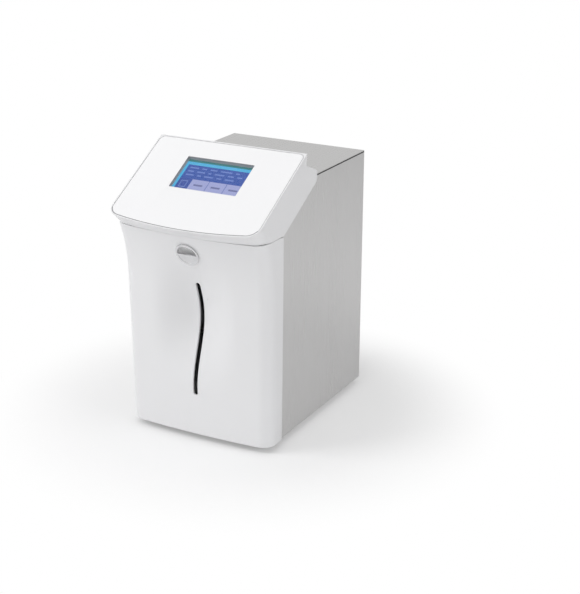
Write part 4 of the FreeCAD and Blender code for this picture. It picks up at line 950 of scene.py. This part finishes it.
class ANALYZER_OT_finishes(bpy.types.Operator):
    """Makes the materials of every part"""

    bl_idname = "analyzer.finishes"
    bl_label = "Make Finishes"

    def execute(self, context):
        self.make_shell(context.scene.analyzer_colours)
        self.make_workings()
        self.make_screen(context.scene.analyzer_colours)
        return {"FINISHED"}

    def make_shell(self, colours):
        case_steel = tones(colours.steel, STEEL_SPREAD)
        # Painted shade: a darker copy of the case's steel for the lid
        lid_steel_painted_shade = tones(shaded(colours.steel, LID_PAINTED_SHADE), STEEL_SPREAD)
        glossy = 0.01 * MM
        FINISHES.update(
            white_shell=moulded_plastic("shell_white", *tones(colours.shell, 0.012), 0.3),
            white_plate=moulded_plastic("plate_white", *tones(colours.plate, 0.008), 0.14, glossy),
            # Painted shade: a grey for the plate's rim faces, in place of the shadow in its groove
            shadow_gap=moulded_plastic("plate_rim_painted_shade", *tones((0.30, 0.30, 0.31), 0.05), 0.4, glossy),
            brushed_case=brushed_metal("steel_upright", *case_steel, stretch=(1.0, 1.0, 0.012)),
            brushed_lid=brushed_metal("steel_lid_painted_shade", *lid_steel_painted_shade, stretch=(1.0, 0.012, 1.0)),
            chrome=plain_metal("chrome_polished", (0.72, 0.72, 0.73, 1.0), 0.12, spread=0.04),
            # Painted light: the cup's satin is near white to make up for the shade inside the cup
            satin_cup=moulded_plastic("chrome_satin_painted_light", *tones((0.96, 0.96, 0.965), 0.03), 0.4, glossy),
            black_rubber=moulded_plastic("rubber_black", *tones((0.018, 0.018, 0.018), 0.3), 0.7, 0.06 * MM),
        )

    def make_workings(self):
        grey_coat = tones((0.44, 0.45, 0.46), 0.04)
        milky = (0.86, 0.85, 0.80, 1.0)
        tinted = (0.80, 0.87, 0.90, 1.0)
        FINISHES.update(
            grey_plastic=moulded_plastic("plastic_grey", *tones((0.25, 0.26, 0.27), 0.1), 0.45),
            black_plastic=moulded_plastic("plastic_black", *tones((0.016, 0.016, 0.018), 0.2), 0.42),
            white_nylon=moulded_plastic("nylon_white", *tones((0.7, 0.69, 0.64), 0.04), 0.4),
            grey_sheet=moulded_plastic("powder_coat_grey", *grey_coat, 0.5, 0.08 * MM),
            plated_steel=plain_metal("steel_plated", (0.60, 0.60, 0.62, 1.0), 0.28),
            aluminium=plain_metal("aluminium_machined", (0.66, 0.67, 0.68, 1.0), 0.38),
            motor_metal=plain_metal("motor_dark", (0.10, 0.10, 0.11, 1.0), 0.4),
            circuit_board=board_green("solder_mask_green"),
            silicone=clear_plastic("silicone_milky", milky, roughness=0.35, see_through=0.55),
            electrode_body=clear_plastic("electrode_clear", tinted, roughness=0.12, see_through=0.6),
        )

    def make_screen(self, colours):
        clear = (0.96, 0.97, 0.98, 1.0)
        FINISHES.update(
            clear_glass=clear_plastic("touch_clear", clear, roughness=0.02, see_through=1.0, ior=1.15),
            display_field=glowing("display_blue", tuple(colours.display)),
            display_status=glowing("display_teal", (0.07, 0.22, 0.22, 1.0)),
            display_border=glowing("display_cyan", (0.10, 0.47, 0.76, 1.0)),
            display_button=glowing("display_lavender", (0.37, 0.40, 0.68, 1.0)),
            display_choice=glowing("display_deep_blue", (0.045, 0.09, 0.36, 1.0)),
            display_edge=glowing("display_outline", (0.16, 0.24, 0.55, 1.0)),
            display_data=glowing("display_pale_blue", (0.17, 0.26, 0.60, 1.0)),
            display_mark=glowing("display_slate", (0.16, 0.18, 0.36, 1.0)),
        )


class ANALYZER_OT_door(bpy.types.Operator):
    """Makes the moulded door with its slot, its pull's opening, its hinge ears and catch bosses"""

    bl_idname = "analyzer.door"
    bl_label = "Make Door"

    def execute(self, context):
        door = DoorShape()
        skin = add_object("door_skin", skin_mesh(door, [slot_outline(door), oval_outline(door)]))
        paint(skin, FINISHES["white_shell"])
        smooth(skin, angle=50.0)
        stand_for(skin, "front_door")
        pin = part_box("door_hinge_pins")[1].x
        ear_across = (pin - EAR_WIDTH * MM, pin)
        boss_across = [x * MM for x in BOSS_ACROSS]
        shape = bmesh.new()
        for side in (-1, 1):
            for across, depths, heights in (
                (ear_across, EAR_DEPTHS, EAR_HEIGHTS),
                (boss_across, BOSS_DEPTHS, BOSS_HEIGHTS),
            ):
                spans = (
                    sorted(side * x for x in across),
                    [(depth + door.forward) * MM for depth in depths],
                    [height * MM for height in heights],
                )
                add_block(shape, WORLD_AXES, spans)
        bosses = add_object("door_bosses", mesh_of(shape, "door_bosses"))
        paint(bosses, FINISHES["white_shell"])
        soften(bosses, width=0.6 * MM)
        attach(bosses, skin["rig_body"])
        return {"FINISHED"}


class ANALYZER_OT_display(bpy.types.Operator):
    """Makes the touch glass, the display behind it and what the display shows"""

    bl_idname = "analyzer.display"
    bl_label = "Make Display"

    def execute(self, context):
        sizes = context.scene.analyzer_sizes
        make_display(sizes.plate_tilt, sizes.display_gap)
        return {"FINISHED"}


class ANALYZER_OT_screws(bpy.types.Operator):
    """Makes the screw heads on the bay panel, on the rear panel and under the feet"""

    bl_idname = "analyzer.screws"
    bl_label = "Make Screws"

    def execute(self, context):
        for node, facing, radius, height in SCREWS:
            make_screws(node, facing, radius, height)
        return {"FINISHED"}


class ANALYZER_OT_housing(bpy.types.Operator):
    """Dresses the head, its plate, the pull, the steel case, the lid and the feet"""

    bl_idname = "analyzer.housing"
    bl_label = "Dress Housing"

    def execute(self, context):
        edge = context.scene.analyzer_sizes.edge
        dressed = {node: dress(node, FINISHES[SLOT_OF[node]], share * edge) for node, share in HOUSING_EDGES}
        dress("display_bezel", FINISHES["grey_sheet"], BEZEL_EDGE * edge)
        dress("top_cover", FINISHES["brushed_lid"], LID_EDGE * edge)
        shade_rim(dressed["fascia_plate"])
        line_pull(dressed["door_pull"], DoorShape())
        return {"FINISHED"}


class ANALYZER_OT_workings(bpy.types.Operator):
    """Dresses the fluid parts, the electronics and the sockets"""

    bl_idname = "analyzer.workings"
    bl_label = "Dress Workings"

    def execute(self, context):
        edge = WORKING_EDGE * context.scene.analyzer_sizes.edge
        shown = {name for obj in bpy.data.objects for name in obj.get("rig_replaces", [])}
        for node in sorted(set(frame["nodes"]) - shown):
            round_piece = node.endswith(("tube", "tubes", "needle")) or "roller" in node
            dress(node, FINISHES[SLOT_OF[node]], 0.0 if round_piece else edge)
        return {"FINISHED"}


# Studio

# Each lamp's name, place, width in metres and power in watts
LAMPS = (
    ("key_lamp", (-2.0, -1.5, 2.1), 1.4, 36.0),
    ("front_lamp", (0.7, -2.8, 1.2), 1.6, 10.0),
    ("side_lamp", (2.6, -0.2, 1.3), 1.6, 14.0),
    ("top_lamp", (-0.1, -0.4, 2.7), 1.6, 13.0),
)
LAMP_AIM = Vector((0.0, 0.0, 0.18))
# The world's strength for plain light and for what shiny faces mirror
WORLD_LIGHT, WORLD_GLOSS = 0.43, 0.62
# Half the floor's width, where it starts and ends turning white, and how white it is at the object
FLOOR_REACH = 8.0
FLOOR_FADE = (0.18, 0.36)
FLOOR_GLOW = 0.3
WHITE = (1.0, 1.0, 1.0, 1.0)
# The camera's place in metres, its turn, drop and roll in degrees, and its lens in millimetres
CAMERA_PLACE = (0.8651, -1.4847, 0.7838)
CAMERA_TURN = (28.18, 20.03, 0.31)
CAMERA_LENS, CAMERA_SENSOR = 83.69, 36.0


def make_world():
    """Plain soft light all round, and white wherever the backdrop itself is seen."""
    world = bpy.data.worlds.new("studio_light")
    world.use_nodes = True
    bpy.context.scene.world = world
    graph = Graph(world.node_tree)
    seen, glossy, through = (
        graph.node("ShaderNodeLightPath", output=ray)
        for ray in ("Is Camera Ray", "Is Glossy Ray", "Is Transmission Ray")
    )
    backdrop = graph.math("MAXIMUM", seen, through)
    strength = WORLD_LIGHT + (1.0 - WORLD_LIGHT) * graph.math("MAXIMUM", backdrop, WORLD_GLOSS * glossy)
    back = world.node_tree.nodes["Background"]
    back.inputs["Color"].default_value = WHITE
    world.node_tree.links.new(strength.socket, back.inputs["Strength"])


def make_floor():
    """A pale floor that takes the shadow near the object and is plain white further off."""
    shape = bmesh.new()
    bmesh.ops.create_grid(shape, x_segments=4, y_segments=4, size=FLOOR_REACH)
    floor = add_object("studio_floor", mesh_of(shape, "studio_floor", outward=False))
    pale = Finish("floor_pale", Roughness=0.7)
    cloud = pale.noise(scale=3.0, detail=2.0)
    pale.feed("Base Color", pale.blend(cloud, (0.90, 0.90, 0.905, 1.0), (0.92, 0.92, 0.925, 1.0)))
    away = pale.node("ShaderNodeVectorMath", {"operation": "LENGTH"}, {0: pale.place}, output="Value")
    span = {"Value": away, "From Min": FLOOR_FADE[0], "From Max": FLOOR_FADE[1]}
    fade = pale.node("ShaderNodeMapRange", {"interpolation_type": "SMOOTHSTEP"}, span)
    seen = pale.node("ShaderNodeLightPath", output="Is Camera Ray")
    share = (FLOOR_GLOW + (1.0 - FLOOR_GLOW) * fade) * seen
    lit = Value(pale, pale.shader.outputs["BSDF"])
    white = pale.node("ShaderNodeEmission", None, {"Color": WHITE, "Strength": 1.0})
    mixed = pale.node("ShaderNodeMixShader", None, {0: share, 1: lit, 2: white})
    pale.tree.links.new(mixed.socket, pale.tree.nodes["Material Output"].inputs["Surface"])
    paint(floor, pale.material)


def make_lamps():
    """Broad lamps, all turned to the middle of the object."""
    for name, place, width, power in LAMPS:
        lamp = bpy.data.lights.new(name, "AREA")
        lamp.size = width
        lamp.energy = power
        obj = add_object(name, lamp)
        obj.location = place
        obj.rotation_euler = (LAMP_AIM - Vector(place)).to_track_quat("-Z", "Y").to_euler()


def make_camera():
    """The camera, turned and rolled as the photo's was."""
    azimuth, elevation, roll = (math.radians(angle) for angle in CAMERA_TURN)
    level = math.cos(elevation)
    look = Vector((-math.sin(azimuth) * level, math.cos(azimuth) * level, -math.sin(elevation)))
    side = Vector((math.cos(azimuth), math.sin(azimuth), 0.0))
    above = side.cross(look)
    right = side * math.cos(roll) + above * math.sin(roll)
    up = above * math.cos(roll) - side * math.sin(roll)
    lens = bpy.data.cameras.new("photo_camera")
    lens.sensor_fit = "VERTICAL"
    lens.sensor_height = CAMERA_SENSOR
    lens.lens = CAMERA_LENS
    camera = add_object("photo_camera", lens)
    place = Matrix((right, up, -look)).transposed().to_4x4()
    place.translation = CAMERA_PLACE
    camera.matrix_world = place
    bpy.context.scene.camera = camera


class ANALYZER_OT_studio(bpy.types.Operator):
    """Sets up the floor, the light and the camera"""

    bl_idname = "analyzer.studio"
    bl_label = "Set Up Studio"

    def execute(self, context):
        context.scene.view_settings.view_transform = "Standard"
        make_world()
        make_floor()
        make_lamps()
        make_camera()
        return {"FINISHED"}


class ANALYZER_PT_panel(bpy.types.Panel):
    """Lists the analyzer's settings and the steps that dress it"""

    bl_idname = "ANALYZER_PT_panel"
    bl_label = "Electrolyte Analyzer"
    bl_space_type = "VIEW_3D"
    bl_region_type = "UI"
    bl_category = "Analyzer"

    def draw(self, context):
        sizes = self.layout.box()
        for name in AnalyzerSizes.__annotations__:
            sizes.prop(context.scene.analyzer_sizes, name)
        colours = self.layout.box()
        for name in AnalyzerColours.__annotations__:
            colours.prop(context.scene.analyzer_colours, name)
        for step in STEPS:
            self.layout.operator(step.bl_idname)


STEPS = (
    ANALYZER_OT_finishes,
    ANALYZER_OT_door,
    ANALYZER_OT_display,
    ANALYZER_OT_screws,
    ANALYZER_OT_housing,
    ANALYZER_OT_workings,
    ANALYZER_OT_studio,
)
CLASSES = (AnalyzerSizes, AnalyzerColours, *STEPS, ANALYZER_PT_panel)


def register():
    for item in CLASSES:
        bpy.utils.register_class(item)
    bpy.types.Scene.analyzer_sizes = bpy.props.PointerProperty(type=AnalyzerSizes)
    bpy.types.Scene.analyzer_colours = bpy.props.PointerProperty(type=AnalyzerColours)


def unregister():
    del bpy.types.Scene.analyzer_colours
    del bpy.types.Scene.analyzer_sizes
    for item in reversed(CLASSES):
        bpy.utils.unregister_class(item)


def main():
    register()
    for step in STEPS:
        family, name = step.bl_idname.split(".")
        getattr(getattr(bpy.ops, family), name)()


if __name__ == "__main__":
    main()
